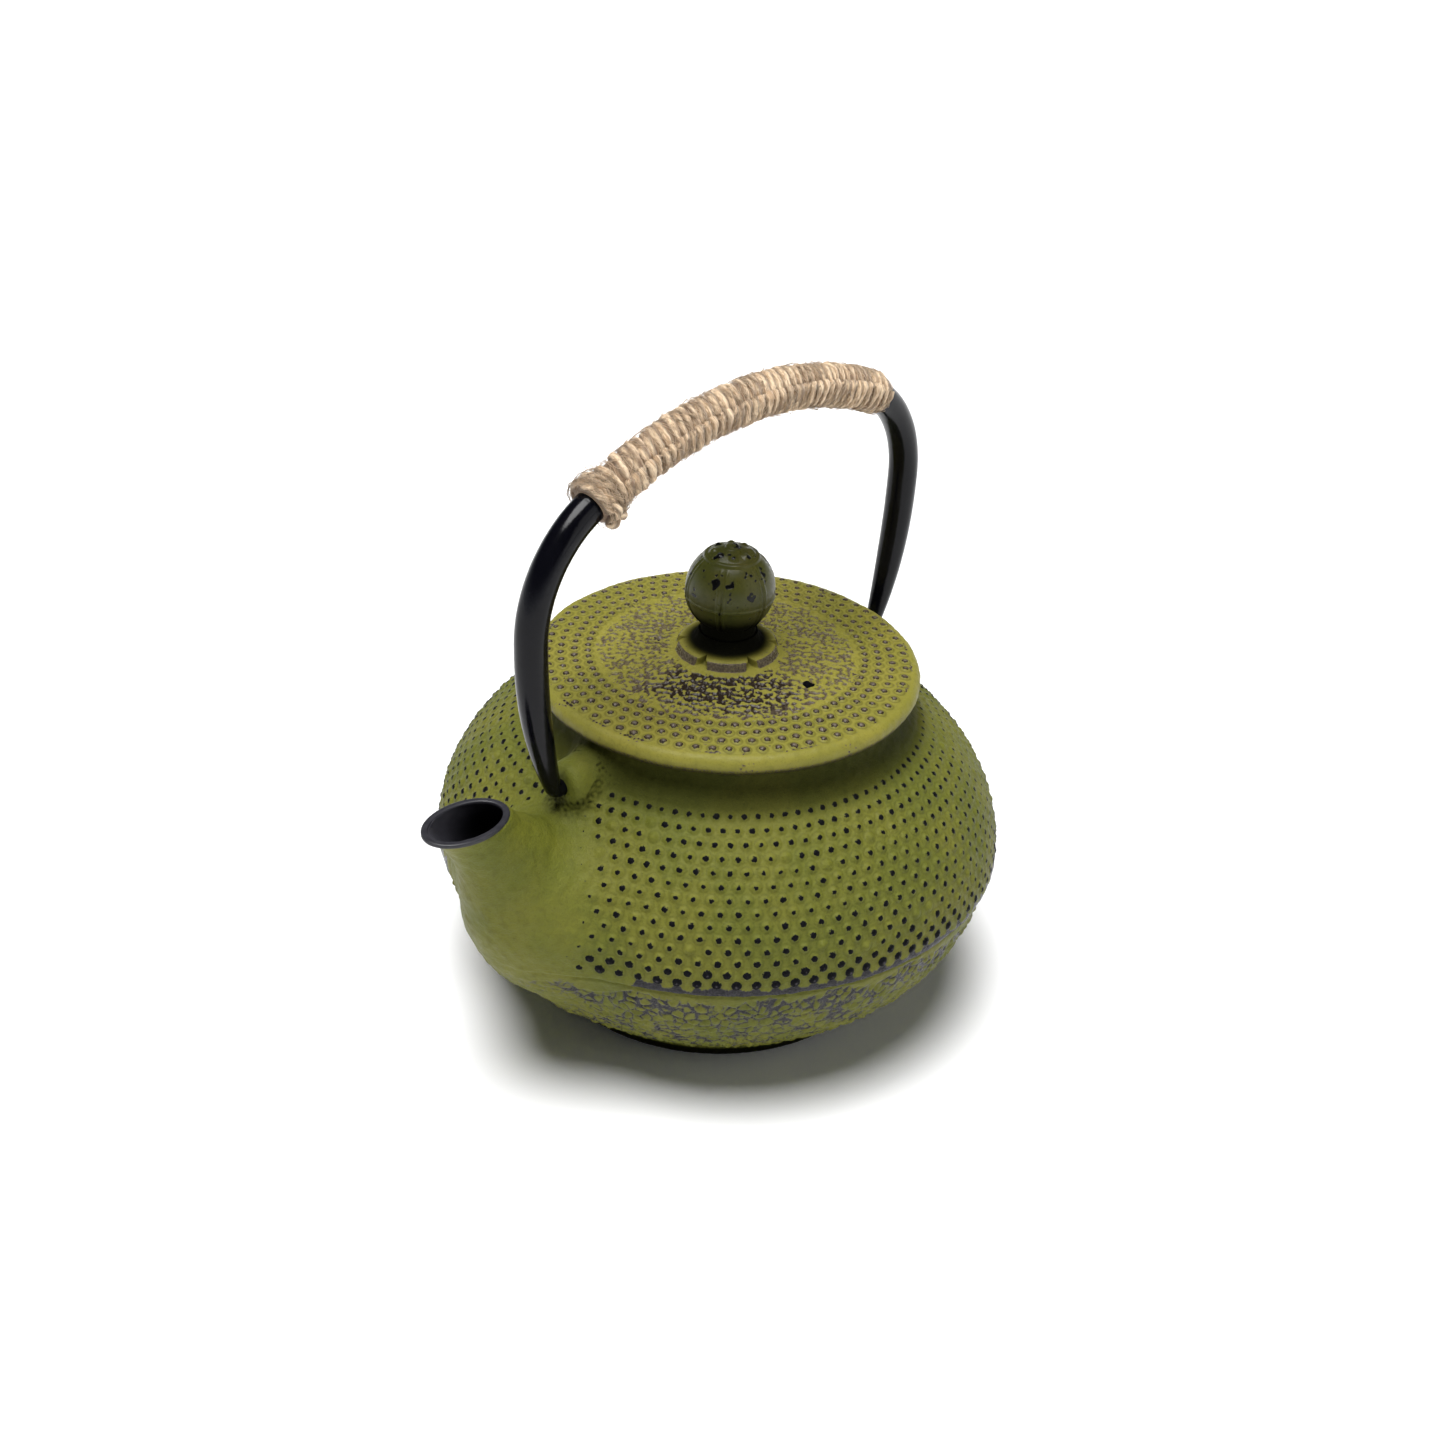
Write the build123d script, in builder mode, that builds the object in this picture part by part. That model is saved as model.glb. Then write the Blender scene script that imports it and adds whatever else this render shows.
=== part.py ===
"""A cast iron teapot with a hobnailed belly, a loose lid, a swinging bail and a hanging strainer.

The frame: the origin is the centre of the foot, +Z is up, the spout points along +X, and the bail
stands in the XZ plane. Every size is in millimetres.
"""

from build123d import *

import os
from math import acos, asin, cos, degrees, radians, sin, sqrt

# ---- belly: two half ellipses that meet at the waist, the upper one standing out a little ----
BELLY_RADIUS = 71.6
WAIST_HEIGHT = 40.5
SHOULDER_RISE = 47.5
LOWER_RADIUS = 70.2
LOWER_DROP = 46.8
FOOT_RADIUS = 39.5
FOOT_INNER_RADIUS = 35.0
FOOT_RECESS = 1.6
FLOOR_HEIGHT = 5.6
WALL = 3.6

# ---- mouth ----
NECK_RADIUS = 43.5
NECK_TOP = 83.8
MOUTH_RADIUS = 37.0
SEAT_RADIUS = 40.6
SEAT_DEPTH = 1.6
CUT_THROUGH = 1.0

# ---- spout: level ellipses, each (height, distance from the axis, half length, half width) ----
SPOUT_STATIONS = (
    (16.0, 36.0, 22.0, 19.0),
    (30.0, 47.0, 27.0, 22.0),
    (44.0, 55.0, 26.5, 19.0),
    (58.0, 64.5, 20.5, 13.5),
    (70.0, 75.2, 13.6, 9.2),
    (77.0, 82.6, 10.8, 7.6),
    (80.6, 86.1, 11.3, 7.8),
)
SPOUT_WALL = 4.6
LIP_WALL = 1.6

# ---- lugs and the bail's hinge ----
LUG_RADIUS = 5.5
LUG_ROOT = 36.0
LUG_REACH = 56.7
HINGE_HEIGHT = 76.4
HINGE_DEPTH = 6.0
HINGE_CLEARANCE = 0.08

# ---- bail: crown, shoulder, tapering leg, hook and hinge tip ----
BAIL_APEX = 155.7
BAIL_HALF_WIDTH = 66.2
CROWN_RADIUS = 116.0
SHOULDER_RADIUS = 30.0
LEG_RADIUS = 120.0
HOOK_RADIUS = 2.6
TUBE_RADIUS = 3.8
TIP_RADIUS = 2.1
TIP_LENGTH = 5.0
LEG_SECTIONS = 6
TAPER_POWER = 2.6

# ---- jute grip and the knot that ties it off ----
GRIP_BACK = -52.0
GRIP_FRONT = 49.0
GRIP_RADIUS = 5.5
KNOT_RADIUS = 6.7
KNOT_WIDTH = 6.5

# ---- lid ----
LID_RADIUS = 47.5
LID_RIM_THICKNESS = 4.6
LID_DOME_RISE = 3.4
LID_PLATE = 3.6
SKIRT_RADIUS = 34.2
SKIRT_WALL = 3.0
SKIRT_DEPTH = 6.5
BOSS_FOOT_RADIUS = 11.0
BOSS_TOP_RADIUS = 7.2
BOSS_RISE = 5.0
BOSS_FLARE = 9.0
PETAL_RADIUS = 12.3
PETAL_THICKNESS = 1.2
PETAL_COUNT = 6
PETAL_GAP = 2.4
VENT_RADIUS = 1.5
VENT_REACH = 24.4
VENT_ANGLE = 95.0
PETAL_ROOT_RADIUS = 10.0
SCREW_HOLE_RADIUS = 2.2

# ---- knob and its screw ----
BALL_RADIUS = 10.9
BALL_RISE = 19.4
STEM_RADIUS = 6.7
SCREW_RADIUS = 2.0
SCREW_REACH = 9.0
SCREW_HEAD_RADIUS = 4.0
SCREW_HEAD_HEIGHT = 2.4
SCREW_HEAD_FILLET = 0.8
SLOT_WIDTH = 1.0
SLOT_DEPTH = 1.0
WASHER_RADIUS = 6.0
WASHER_THICKNESS = 0.8

# ---- strainer ----
STRAINER_RADIUS = 36.2
STRAINER_SHEET = 0.8
STRAINER_DEPTH = 52.0
RIM_RADIUS = 40.0
RIM_SHEET = 1.0
RIM_FILLET = 0.35
SLIT_COUNT = 18
SLIT_ROWS = 4
SLIT_WIDTH = 1.4
SLIT_HEIGHT = 7.0
SLIT_PITCH = 10.0
SLIT_MARGIN = 8.0
SLIT_PUNCH = 3.2
BASE_HOLE_RADIUS = 1.2
BASE_HOLE_RINGS = ((8, 9.0), (14, 18.0), (20, 27.0))

# ---- what follows from the driving dimensions ----
LID_TOP = NECK_TOP + LID_RIM_THICKNESS
SEAT_HEIGHT = NECK_TOP - SEAT_DEPTH
CAVITY_RADIUS = LOWER_RADIUS - WALL
CAVITY_RISE = SHOULDER_RISE - WALL
CAVITY_DROP = LOWER_DROP - WALL
BOSS_FOOT = LID_TOP + LID_DOME_RISE
BOSS_TOP = BOSS_FOOT + BOSS_RISE
BALL_CENTRE = LID_TOP + BALL_RISE


def ellipse_reach(radius, half_width, half_height):
    """How far above or below its centre an ellipse stands at a radius."""
    return half_height * sqrt(1 - (radius / half_width) ** 2)


def ellipse_angle(radius, half_width):
    """The ellipse's own angle, in degrees, at a radius."""
    return degrees(acos(radius / half_width))


def spout_sections(root_inset, lip_inset):
    """The spout's level ellipses, each drawn in by a wall that thins from the root to the lip."""
    last = len(SPOUT_STATIONS) - 1
    for index, (height, reach, half_length, half_width) in enumerate(SPOUT_STATIONS):
        inset = root_inset + (lip_inset - root_inset) * index / last
        yield height, reach, half_length - inset, half_width - inset


# ---- pot_body: belly, spout and lugs are one casting ----
foot_rise = WAIST_HEIGHT - ellipse_reach(FOOT_RADIUS, LOWER_RADIUS, LOWER_DROP)
neck_foot = WAIST_HEIGHT + ellipse_reach(NECK_RADIUS, BELLY_RADIUS, SHOULDER_RISE)
mouth_foot = WAIST_HEIGHT + ellipse_reach(MOUTH_RADIUS, CAVITY_RADIUS, CAVITY_RISE)
floor_radius = CAVITY_RADIUS * sqrt(1 - ((WAIST_HEIGHT - FLOOR_HEIGHT) / CAVITY_DROP) ** 2)

with BuildPart() as pot_body:
    with BuildSketch(Plane.XZ):
        with BuildLine():
            Polyline(
                (FOOT_RADIUS, foot_rise),
                (FOOT_RADIUS, 0),
                (FOOT_INNER_RADIUS, 0),
                (FOOT_INNER_RADIUS - FOOT_RECESS, FOOT_RECESS),
                (0, FOOT_RECESS),
                (0, NECK_TOP),
                (NECK_RADIUS, NECK_TOP),
                (NECK_RADIUS, neck_foot),
            )
            EllipticalCenterArc(
                (0, WAIST_HEIGHT),
                BELLY_RADIUS,
                SHOULDER_RISE,
                start_angle=0,
                arc_size=ellipse_angle(NECK_RADIUS, BELLY_RADIUS),
            )
            Line((BELLY_RADIUS, WAIST_HEIGHT), (LOWER_RADIUS, WAIST_HEIGHT))
            EllipticalCenterArc(
                (0, WAIST_HEIGHT),
                LOWER_RADIUS,
                LOWER_DROP,
                start_angle=0,
                arc_size=-ellipse_angle(FOOT_RADIUS, LOWER_RADIUS),
            )
        make_face()
    revolve(axis=Axis.Z)

    for height, reach, half_length, half_width in spout_sections(0, 0):
        with BuildSketch(Plane.XY.offset(height)):
            with Locations((reach, 0)):
                Ellipse(half_length, half_width)
    loft()

    for direction in (1, -1):
        with BuildSketch(Plane((direction * LUG_ROOT, 0, HINGE_HEIGHT), z_dir=(direction, 0, 0))):
            Circle(LUG_RADIUS)
        extrude(amount=LUG_REACH - LUG_ROOT)

    with BuildSketch(Plane.XZ):
        with BuildLine():
            Polyline(
                (floor_radius, FLOOR_HEIGHT),
                (0, FLOOR_HEIGHT),
                (0, NECK_TOP + CUT_THROUGH),
                (SEAT_RADIUS, NECK_TOP + CUT_THROUGH),
                (SEAT_RADIUS, SEAT_HEIGHT),
                (MOUTH_RADIUS, SEAT_HEIGHT),
                (MOUTH_RADIUS, mouth_foot),
            )
            EllipticalCenterArc(
                (0, WAIST_HEIGHT),
                CAVITY_RADIUS,
                CAVITY_RISE,
                start_angle=0,
                arc_size=ellipse_angle(MOUTH_RADIUS, CAVITY_RADIUS),
            )
            EllipticalCenterArc(
                (0, WAIST_HEIGHT),
                CAVITY_RADIUS,
                CAVITY_DROP,
                start_angle=0,
                arc_size=-ellipse_angle(floor_radius, CAVITY_RADIUS),
            )
        make_face()
    revolve(axis=Axis.Z, mode=Mode.SUBTRACT)

    for height, reach, half_length, half_width in spout_sections(SPOUT_WALL, LIP_WALL):
        with BuildSketch(Plane.XY.offset(height)):
            with Locations((reach, 0)):
                Ellipse(half_length, half_width)
    loft(mode=Mode.SUBTRACT)

    for direction in (1, -1):
        with Locations(Location(Plane((direction * LUG_REACH, 0, HINGE_HEIGHT), z_dir=(direction, 0, 0)))):
            Hole(TIP_RADIUS + HINGE_CLEARANCE, depth=HINGE_DEPTH)


# ---- lid: a shallow dome with a locating skirt and a petalled boss ----
lid_flat = LID_RADIUS - LID_RIM_THICKNESS / 2


def dome_height(radius):
    """The lid's upper face, which climbs straight from inside the rim to the boss."""
    span = lid_flat - BOSS_FOOT_RADIUS
    return LID_TOP + LID_DOME_RISE * (lid_flat - radius) / span


skirt_inner = SKIRT_RADIUS - SKIRT_WALL
with BuildPart() as lid:
    with BuildSketch(Plane.XZ):
        with BuildLine():
            Polyline(
                (SCREW_HOLE_RADIUS, BOSS_TOP),
                (SCREW_HOLE_RADIUS, BOSS_FOOT - LID_PLATE),
                (BOSS_FOOT_RADIUS, BOSS_FOOT - LID_PLATE),
                (skirt_inner, dome_height(skirt_inner) - LID_PLATE),
                (skirt_inner, NECK_TOP - SKIRT_DEPTH),
                (SKIRT_RADIUS, NECK_TOP - SKIRT_DEPTH),
                (SKIRT_RADIUS, NECK_TOP),
                (lid_flat, NECK_TOP),
            )
            RadiusArc(
                (lid_flat, NECK_TOP),
                (lid_flat, LID_TOP),
                -LID_RIM_THICKNESS / 2,
            )
            Line((lid_flat, LID_TOP), (BOSS_FOOT_RADIUS, BOSS_FOOT))
            RadiusArc((BOSS_FOOT_RADIUS, BOSS_FOOT), (BOSS_TOP_RADIUS, BOSS_TOP), -BOSS_FLARE)
            Line((BOSS_TOP_RADIUS, BOSS_TOP), (SCREW_HOLE_RADIUS, BOSS_TOP))
        make_face()
    revolve(axis=Axis.Z)

    with BuildSketch(Plane.XY.offset(BOSS_FOOT - PETAL_THICKNESS)):
        Circle(PETAL_RADIUS)
        Circle(PETAL_ROOT_RADIUS, mode=Mode.SUBTRACT)
        with PolarLocations(PETAL_RADIUS, PETAL_COUNT):
            Rectangle(PETAL_RADIUS, PETAL_GAP, mode=Mode.SUBTRACT)
    extrude(amount=2 * PETAL_THICKNESS)

    with Locations((0, 0, BOSS_FOOT)):
        with PolarLocations(VENT_REACH, 1, start_angle=VENT_ANGLE):
            Hole(VENT_RADIUS, depth=2 * LID_PLATE)


# ---- lid_knob: a ball on a short stem, drilled for the screw ----
stem_join = BALL_CENTRE - sqrt(BALL_RADIUS**2 - STEM_RADIUS**2)
with BuildPart() as lid_knob:
    with BuildSketch(Plane.XZ):
        with BuildLine():
            Polyline(
                (0, BALL_CENTRE + BALL_RADIUS),
                (0, BOSS_TOP),
                (STEM_RADIUS, BOSS_TOP),
                (STEM_RADIUS, stem_join),
            )
            ThreePointArc(
                (STEM_RADIUS, stem_join),
                (BALL_RADIUS, BALL_CENTRE),
                (0, BALL_CENTRE + BALL_RADIUS),
            )
        make_face()
    revolve(axis=Axis.Z)
    with Locations(Location((0, 0, BOSS_TOP), (180, 0, 0))):
        Hole(SCREW_RADIUS, depth=SCREW_REACH)


# ---- knob_washer and knob_screw: they hold the knob from under the lid ----
washer_top = BOSS_FOOT - LID_PLATE
screw_seat = washer_top - WASHER_THICKNESS
with BuildPart() as knob_washer:
    with BuildSketch(Plane.XY.offset(screw_seat)):
        Circle(WASHER_RADIUS)
        Circle(SCREW_HOLE_RADIUS, mode=Mode.SUBTRACT)
    extrude(amount=WASHER_THICKNESS)

with BuildPart() as knob_screw:
    with BuildSketch(Plane.XY.offset(screw_seat)):
        Circle(SCREW_HEAD_RADIUS)
    extrude(amount=-SCREW_HEAD_HEIGHT)
    head_rim = knob_screw.edges().filter_by(GeomType.CIRCLE).sort_by(Axis.Z)[0]
    fillet(head_rim, radius=SCREW_HEAD_FILLET)
    with BuildSketch(Plane.XY.offset(screw_seat)):
        Circle(SCREW_RADIUS)
    extrude(amount=BOSS_TOP + SCREW_REACH - screw_seat)
    with BuildSketch(Plane.XY.offset(screw_seat - SCREW_HEAD_HEIGHT)):
        Rectangle(2 * SCREW_HEAD_RADIUS, SLOT_WIDTH)
    extrude(amount=SLOT_DEPTH, mode=Mode.SUBTRACT)


# ---- bail_handle: half is built at +X and mirrored ----
crown_centre = BAIL_APEX - CROWN_RADIUS
crown_end = (BAIL_HALF_WIDTH - SHOULDER_RADIUS) / (1 - SHOULDER_RADIUS / CROWN_RADIUS)
crown_angle = degrees(asin(crown_end / CROWN_RADIUS))
shoulder_x = BAIL_HALF_WIDTH - SHOULDER_RADIUS
shoulder_z = crown_centre + (CROWN_RADIUS - SHOULDER_RADIUS) * cos(radians(crown_angle))

# The leg leans in just enough for the hook, bent level, to end on the hinge axis.
leg_fall = shoulder_z - HINGE_HEIGHT - HOOK_RADIUS
leg_angle = degrees(asin(leg_fall / (LEG_RADIUS - HOOK_RADIUS)))
hook_x = BAIL_HALF_WIDTH - LEG_RADIUS + (LEG_RADIUS - HOOK_RADIUS) * cos(radians(leg_angle))

with BuildPart() as bail_handle:
    with BuildLine(Plane.XZ):
        crown = CenterArc((0, crown_centre), CROWN_RADIUS, 90 - crown_angle, crown_angle)
        shoulder = CenterArc((shoulder_x, shoulder_z), SHOULDER_RADIUS, 0, 90 - crown_angle)
    with BuildSketch(Plane(shoulder @ 0, x_dir=(1, 0, 0), z_dir=(0, 0, 1))):
        Circle(TUBE_RADIUS)
    sweep(path=Wire([shoulder, crown]))

    with BuildLine(Plane.XZ, mode=Mode.PRIVATE):
        leg = CenterArc((BAIL_HALF_WIDTH - LEG_RADIUS, shoulder_z), LEG_RADIUS, -leg_angle, leg_angle)
        hook = CenterArc((hook_x, HINGE_HEIGHT + HOOK_RADIUS), HOOK_RADIUS, -90, 90 - leg_angle)
    for index in range(LEG_SECTIONS):
        share = index / (LEG_SECTIONS - 1)
        angle = leg_angle * share
        x = BAIL_HALF_WIDTH - LEG_RADIUS + LEG_RADIUS * cos(radians(angle))
        z = shoulder_z - LEG_RADIUS * sin(radians(angle))
        tangent = (sin(radians(angle)), 0, cos(radians(angle)))
        taper = TUBE_RADIUS + (TIP_RADIUS - TUBE_RADIUS) * share**TAPER_POWER
        with BuildSketch(Plane((x, 0, z), x_dir=(0, 1, 0), z_dir=tangent)):
            Circle(taper)
    loft()

    with BuildSketch(Plane(hook @ 0, x_dir=(0, 1, 0), z_dir=(1, 0, 0))):
        Circle(TIP_RADIUS)
    sweep(path=hook)
    with BuildSketch(Plane(hook @ 0, x_dir=(0, 1, 0), z_dir=(-1, 0, 0))):
        Circle(TIP_RADIUS)
    extrude(amount=TIP_LENGTH)
    mirror(about=Plane.YZ)


# ---- jute_grip and jute_knot: rings of twine wound tight on the crown of the bail ----
def wound_ring(outer_radius, first_x, last_x):
    """A sleeve of twine round the crown, from one distance off the middle to another."""
    with BuildPart() as sleeve:
        first_angle = degrees(asin(first_x / CROWN_RADIUS))
        last_angle = degrees(asin(last_x / CROWN_RADIUS))
        start = Plane(
            (first_x, 0, crown_centre + CROWN_RADIUS * cos(radians(first_angle))),
            x_dir=(0, 1, 0),
            z_dir=(cos(radians(first_angle)), 0, -sin(radians(first_angle))),
        )
        with BuildSketch(start):
            Circle(outer_radius)
            Circle(TUBE_RADIUS, mode=Mode.SUBTRACT)
        hub = Axis((0, 0, crown_centre), (0, 1, 0))
        revolve(axis=hub, revolution_arc=last_angle - first_angle)
    return sleeve


jute_grip = wound_ring(GRIP_RADIUS, GRIP_BACK, GRIP_FRONT - KNOT_WIDTH)
jute_knot = wound_ring(KNOT_RADIUS, GRIP_FRONT - KNOT_WIDTH, GRIP_FRONT)


# ---- the strainer: a pressed rim, a slotted wall and a pierced base ----
strainer_floor = SEAT_HEIGHT - STRAINER_DEPTH
with BuildPart() as infuser_rim:
    with BuildSketch(Plane.XY.offset(SEAT_HEIGHT)):
        Circle(RIM_RADIUS)
        Circle(STRAINER_RADIUS - STRAINER_SHEET, mode=Mode.SUBTRACT)
    extrude(amount=RIM_SHEET)
    rim_edges = infuser_rim.edges().filter_by(GeomType.CIRCLE).group_by(SortBy.RADIUS)[-1]
    fillet(rim_edges, radius=RIM_FILLET)

with BuildPart() as infuser_wall:
    with BuildSketch(Plane.XY.offset(strainer_floor)):
        Circle(STRAINER_RADIUS)
        Circle(STRAINER_RADIUS - STRAINER_SHEET, mode=Mode.SUBTRACT)
    extrude(amount=STRAINER_DEPTH)
    for row in range(SLIT_ROWS):
        slit_middle = strainer_floor + SLIT_MARGIN + row * SLIT_PITCH
        with Locations((0, 0, slit_middle)):
            with PolarLocations(STRAINER_RADIUS, SLIT_COUNT, start_angle=row % 2 * 180 / SLIT_COUNT):
                Box(SLIT_PUNCH, SLIT_WIDTH, SLIT_HEIGHT, mode=Mode.SUBTRACT)

with BuildPart() as infuser_base:
    with BuildSketch(Plane.XY.offset(strainer_floor)):
        Circle(STRAINER_RADIUS - STRAINER_SHEET)
        for hole_count, ring_radius in BASE_HOLE_RINGS:
            with PolarLocations(ring_radius, hole_count):
                Circle(BASE_HOLE_RADIUS, mode=Mode.SUBTRACT)
    extrude(amount=STRAINER_SHEET)


# ---- every piece goes out under its own name ----
pieces = {
    "pot_body": pot_body,
    "lid": lid,
    "lid_knob": lid_knob,
    "knob_washer": knob_washer,
    "knob_screw": knob_screw,
    "bail_handle": bail_handle,
    "jute_grip": jute_grip,
    "jute_knot": jute_knot,
    "infuser_rim": infuser_rim,
    "infuser_wall": infuser_wall,
    "infuser_base": infuser_base,
}
os.makedirs("parts", exist_ok=True)
for name, piece in pieces.items():
    piece.part.label = name
    export_step(piece.part, f"parts/{name}.step")
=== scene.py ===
from math import acos, asin, cos, pi, radians, sin, sqrt, tau

import bpy
import numpy as np
from mathutils import Matrix, Vector
from mathutils.noise import voronoi


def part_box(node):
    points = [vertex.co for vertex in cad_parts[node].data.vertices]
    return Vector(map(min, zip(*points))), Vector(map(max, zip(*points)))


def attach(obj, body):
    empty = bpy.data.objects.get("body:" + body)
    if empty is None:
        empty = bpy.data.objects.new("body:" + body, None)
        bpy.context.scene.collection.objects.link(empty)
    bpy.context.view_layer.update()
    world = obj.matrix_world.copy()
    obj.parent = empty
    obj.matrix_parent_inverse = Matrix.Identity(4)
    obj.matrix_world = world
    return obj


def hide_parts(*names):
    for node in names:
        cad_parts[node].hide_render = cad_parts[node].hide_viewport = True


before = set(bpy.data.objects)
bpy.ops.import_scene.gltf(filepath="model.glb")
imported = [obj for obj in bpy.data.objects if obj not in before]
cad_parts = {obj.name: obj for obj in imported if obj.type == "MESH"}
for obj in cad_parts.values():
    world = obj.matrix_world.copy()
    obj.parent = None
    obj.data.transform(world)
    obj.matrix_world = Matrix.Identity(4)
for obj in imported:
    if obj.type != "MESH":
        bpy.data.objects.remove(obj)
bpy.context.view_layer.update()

MM = 0.001


def cad_corner(node, side):
    """A CAD node's lowest (side 0) or highest (side 1) corner, in millimetres."""
    return np.array(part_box(node)[side]) / MM


# ---- pot: the casting's sizes ----
NUB_HEIGHT = 0.6
BELLY_RADIUS = cad_corner("pot_body", 1)[1] - NUB_HEIGHT
LOWER_RADIUS = 70.0
WAIST = 40.5
SHOULDER_RISE = 47.5
LOWER_DROP = 46.8
STEP = -1.2
STEP_HALF_HEIGHT = 0.4
NECK_TOP = cad_corner("pot_body", 1)[2]
NECK_RADIUS = 43.5
MOUTH_RADIUS = 37.0
SEAT_RADIUS = 40.6
SEAT_DEPTH = 1.6
CAVITY_RADIUS = 66.6
CAVITY_RISE = 43.9
CAVITY_DROP = 43.2
FLOOR_HEIGHT = 5.6
FOOT_RADIUS = 39.5
FOOT_INNER = 34.2
FOOT_RECESS = 1.6
LUG_RADIUS = 5.5
LUG_REACH = 56.7
HINGE_HEIGHT = 76.4
HINGE_DEPTH = 6.0
HOLE_RADIUS = 2.18

# The spout's level ellipses: height, distance from the axis, half length, half width.
SPOUT = np.array([
    (16.0, 36.0, 22.0, 19.0),
    (30.0, 47.0, 27.0, 22.0),
    (44.0, 55.0, 26.5, 19.0),
    (58.0, 64.5, 20.5, 13.5),
    (70.0, 75.2, 13.6, 9.2),
    (77.0, 82.6, 10.8, 7.6),
    (80.6, 86.1, 11.3, 7.8),
])
LIP_HEIGHT = SPOUT[-1, 0]
SPOUT_WALL = 4.6
LIP_WALL = 1.6
LIP_ENAMEL = 0.45
LIP_RING = 1.1

# ---- pot: hobnails, crackle and the bare band at the waist ----
NUB_ROWS = 14
NUB_COLUMNS = 98
NUB_RADIUS = 1.6
NUB_SINK = 0.25
NUB_SHIFT = 0.35
FIRST_ROW = radians(2.6)
ROW_STEP = radians(3.33)
CRACKLE_TOP = 36.6
CRACKLE_GRAIN = 2.5
CRACKLE_DEPTH = 0.6

# ---- lid and knob ----
LID_BOTTOM = NECK_TOP
LID_RADIUS = cad_corner("lid", 1)[0] + 0.2
LID_RIM = 4.6
RIM_BEAD = 0.5
LID_TOP = LID_BOTTOM + LID_RIM
LID_RISE = 3.4
LID_PLATE = 3.6
LID_RINGS = (33.9, 37.2, 40.5, 43.8)
LID_NUBS = 72
LID_NUB_RADIUS = 1.45
LID_NUB_HEIGHT = 0.7
LID_CRACKLE_GRAIN = 1.9
LID_CRACKLE_DEPTH = 0.38
SKIRT_RADIUS = 34.2
SKIRT_INNER = 31.2
SKIRT_DEPTH = 6.5
BOSS_FOOT = 11.0
BOSS_TOP = 7.2
BOSS_RISE = 5.0
BOSS_FLARE = 9.0
PETALS = 6
PETAL_RADIUS = 12.3
PETAL_RISE = 1.8
PETAL_TURN = radians(41)
VENT_REACH = 24.4
VENT_ANGLE = radians(95)
VENT_RADIUS = 1.5
SCREW_HOLE = 2.2
BALL_RADIUS = 10.9
BALL_CENTRE = LID_TOP + 19.6
STEM_RADIUS = 6.7
KNOB_RIBS = 6
RIB_TURN = radians(28.5)
CROWN_PETALS = 8

# ---- bail and its twine ----
APEX = 155.7
CROWN_RADIUS = 116.0
SHOULDER_RADIUS = 30.0
LEG_RADIUS = 120.0
HALF_WIDTH = 66.2
HOOK_RADIUS = 2.6
TUBE_RADIUS = 3.8
TIP_RADIUS = 2.1
TIP_LENGTH = 5.0
TAPER_POWER = 2.6
GRIP_BACK = -52.0
GRIP_FRONT = 49.0
GRIP_RADIUS = 5.5
KNOT_WIDTH = 6.5
KNOT_RADIUS = 6.7
TWINE_PITCH = 2.3
TWINE_RADIUS = 1.15
TWINE_SLANT = 3.0
RIDGE_ANGLE = radians(68)
RIDGE_RADIUS = 0.42
FIBRE_RADIUS = 0.075
KNOT_TURNS = 3
KNOT_TWINE = 1.25
TURN_STEPS = 90

# ---- how finely the castings are meshed ----
VOXEL = 0.42
COARSE_VOXEL = 1.6
LID_COLUMNS = 1050
KNOB_COLUMNS = 360
LIP_COLUMNS = 240
BAIL_COLUMNS = 56

# ---- wear and painted shade ----
FAR = 9.0
CRACK_WARP = 0.10
WIDEST_SPOT = 1.25
PAINTED_SHADE_COLOUR = (0.004, 0.004, 0.002)
PAINTED_SHADE_ROUGHNESS = (0.75, 0.75, 0.75)
IRON_ROUGHNESS = (0.27, 0.27, 0.27)
SMOOTH_ANGLE = radians(50)


# ======== shapes as numbers ========
def ease(low, high, x):
    """0 up to low, 1 from high, and smooth between them; low may be the larger one."""
    t = np.clip((x - low) / (high - low), 0, 1)
    return t * t * (3 - 2 * t)


def bell(x, width):
    """1 at 0, falling smoothly to 0 at a width and beyond."""
    return 0.5 + 0.5 * np.cos(pi * np.clip(np.abs(x / width), 0, 1))


def smooth_min(a, b, width):
    """The union of two distance fields, with a fillet where they come within width of each other."""
    share = np.clip(0.5 + 0.5 * (b - a) / width, 0, 1)
    return b * (1 - share) + a * share - width * share * (1 - share)


def smooth_max(a, b, width):
    return -smooth_min(-a, -b, width)


def lengths(vectors):
    return np.linalg.norm(vectors, axis=-1)


def unit(vectors):
    return vectors / lengths(vectors)[..., None]


def round_angles(columns):
    """Even steps once round."""
    return np.arange(columns) * tau / columns


def arc(centre, radius, angles):
    """Points round an arc, by their angles up from the level."""
    return [(centre[0] + radius * cos(angle), centre[1] + radius * sin(angle)) for angle in angles]


def rounded_square(columns, power):
    """The two coordinates of a closed outline between a circle (power 1) and a square (power 0)."""
    angle = round_angles(columns)
    return [np.sign(part) * np.abs(part) ** power for part in (np.cos(angle), np.sin(angle))]


def spline(knots, values, at):
    """A smooth curve through a table: cubic pieces whose slopes come from their neighbours."""
    slopes = np.gradient(values, knots)
    index = np.clip(np.searchsorted(knots, at) - 1, 0, len(knots) - 2)
    span = knots[index + 1] - knots[index]
    t = np.clip((at - knots[index]) / span, 0, 1)
    start = (2 * t**3 - 3 * t**2 + 1) * values[index] + (t**3 - 2 * t**2 + t) * span * slopes[index]
    end = (3 * t**2 - 2 * t**3) * values[index + 1] + (t**3 - t**2) * span * slopes[index + 1]
    return start + end


def gradient(field, points, step=0.05):
    """The field's slope along each axis."""
    slopes = []
    for axis in range(3):
        shift = np.zeros(3)
        shift[axis] = step
        slopes.append((field(points + shift) - field(points - shift)) / (2 * step))
    return np.stack(slopes, axis=1)


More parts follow.
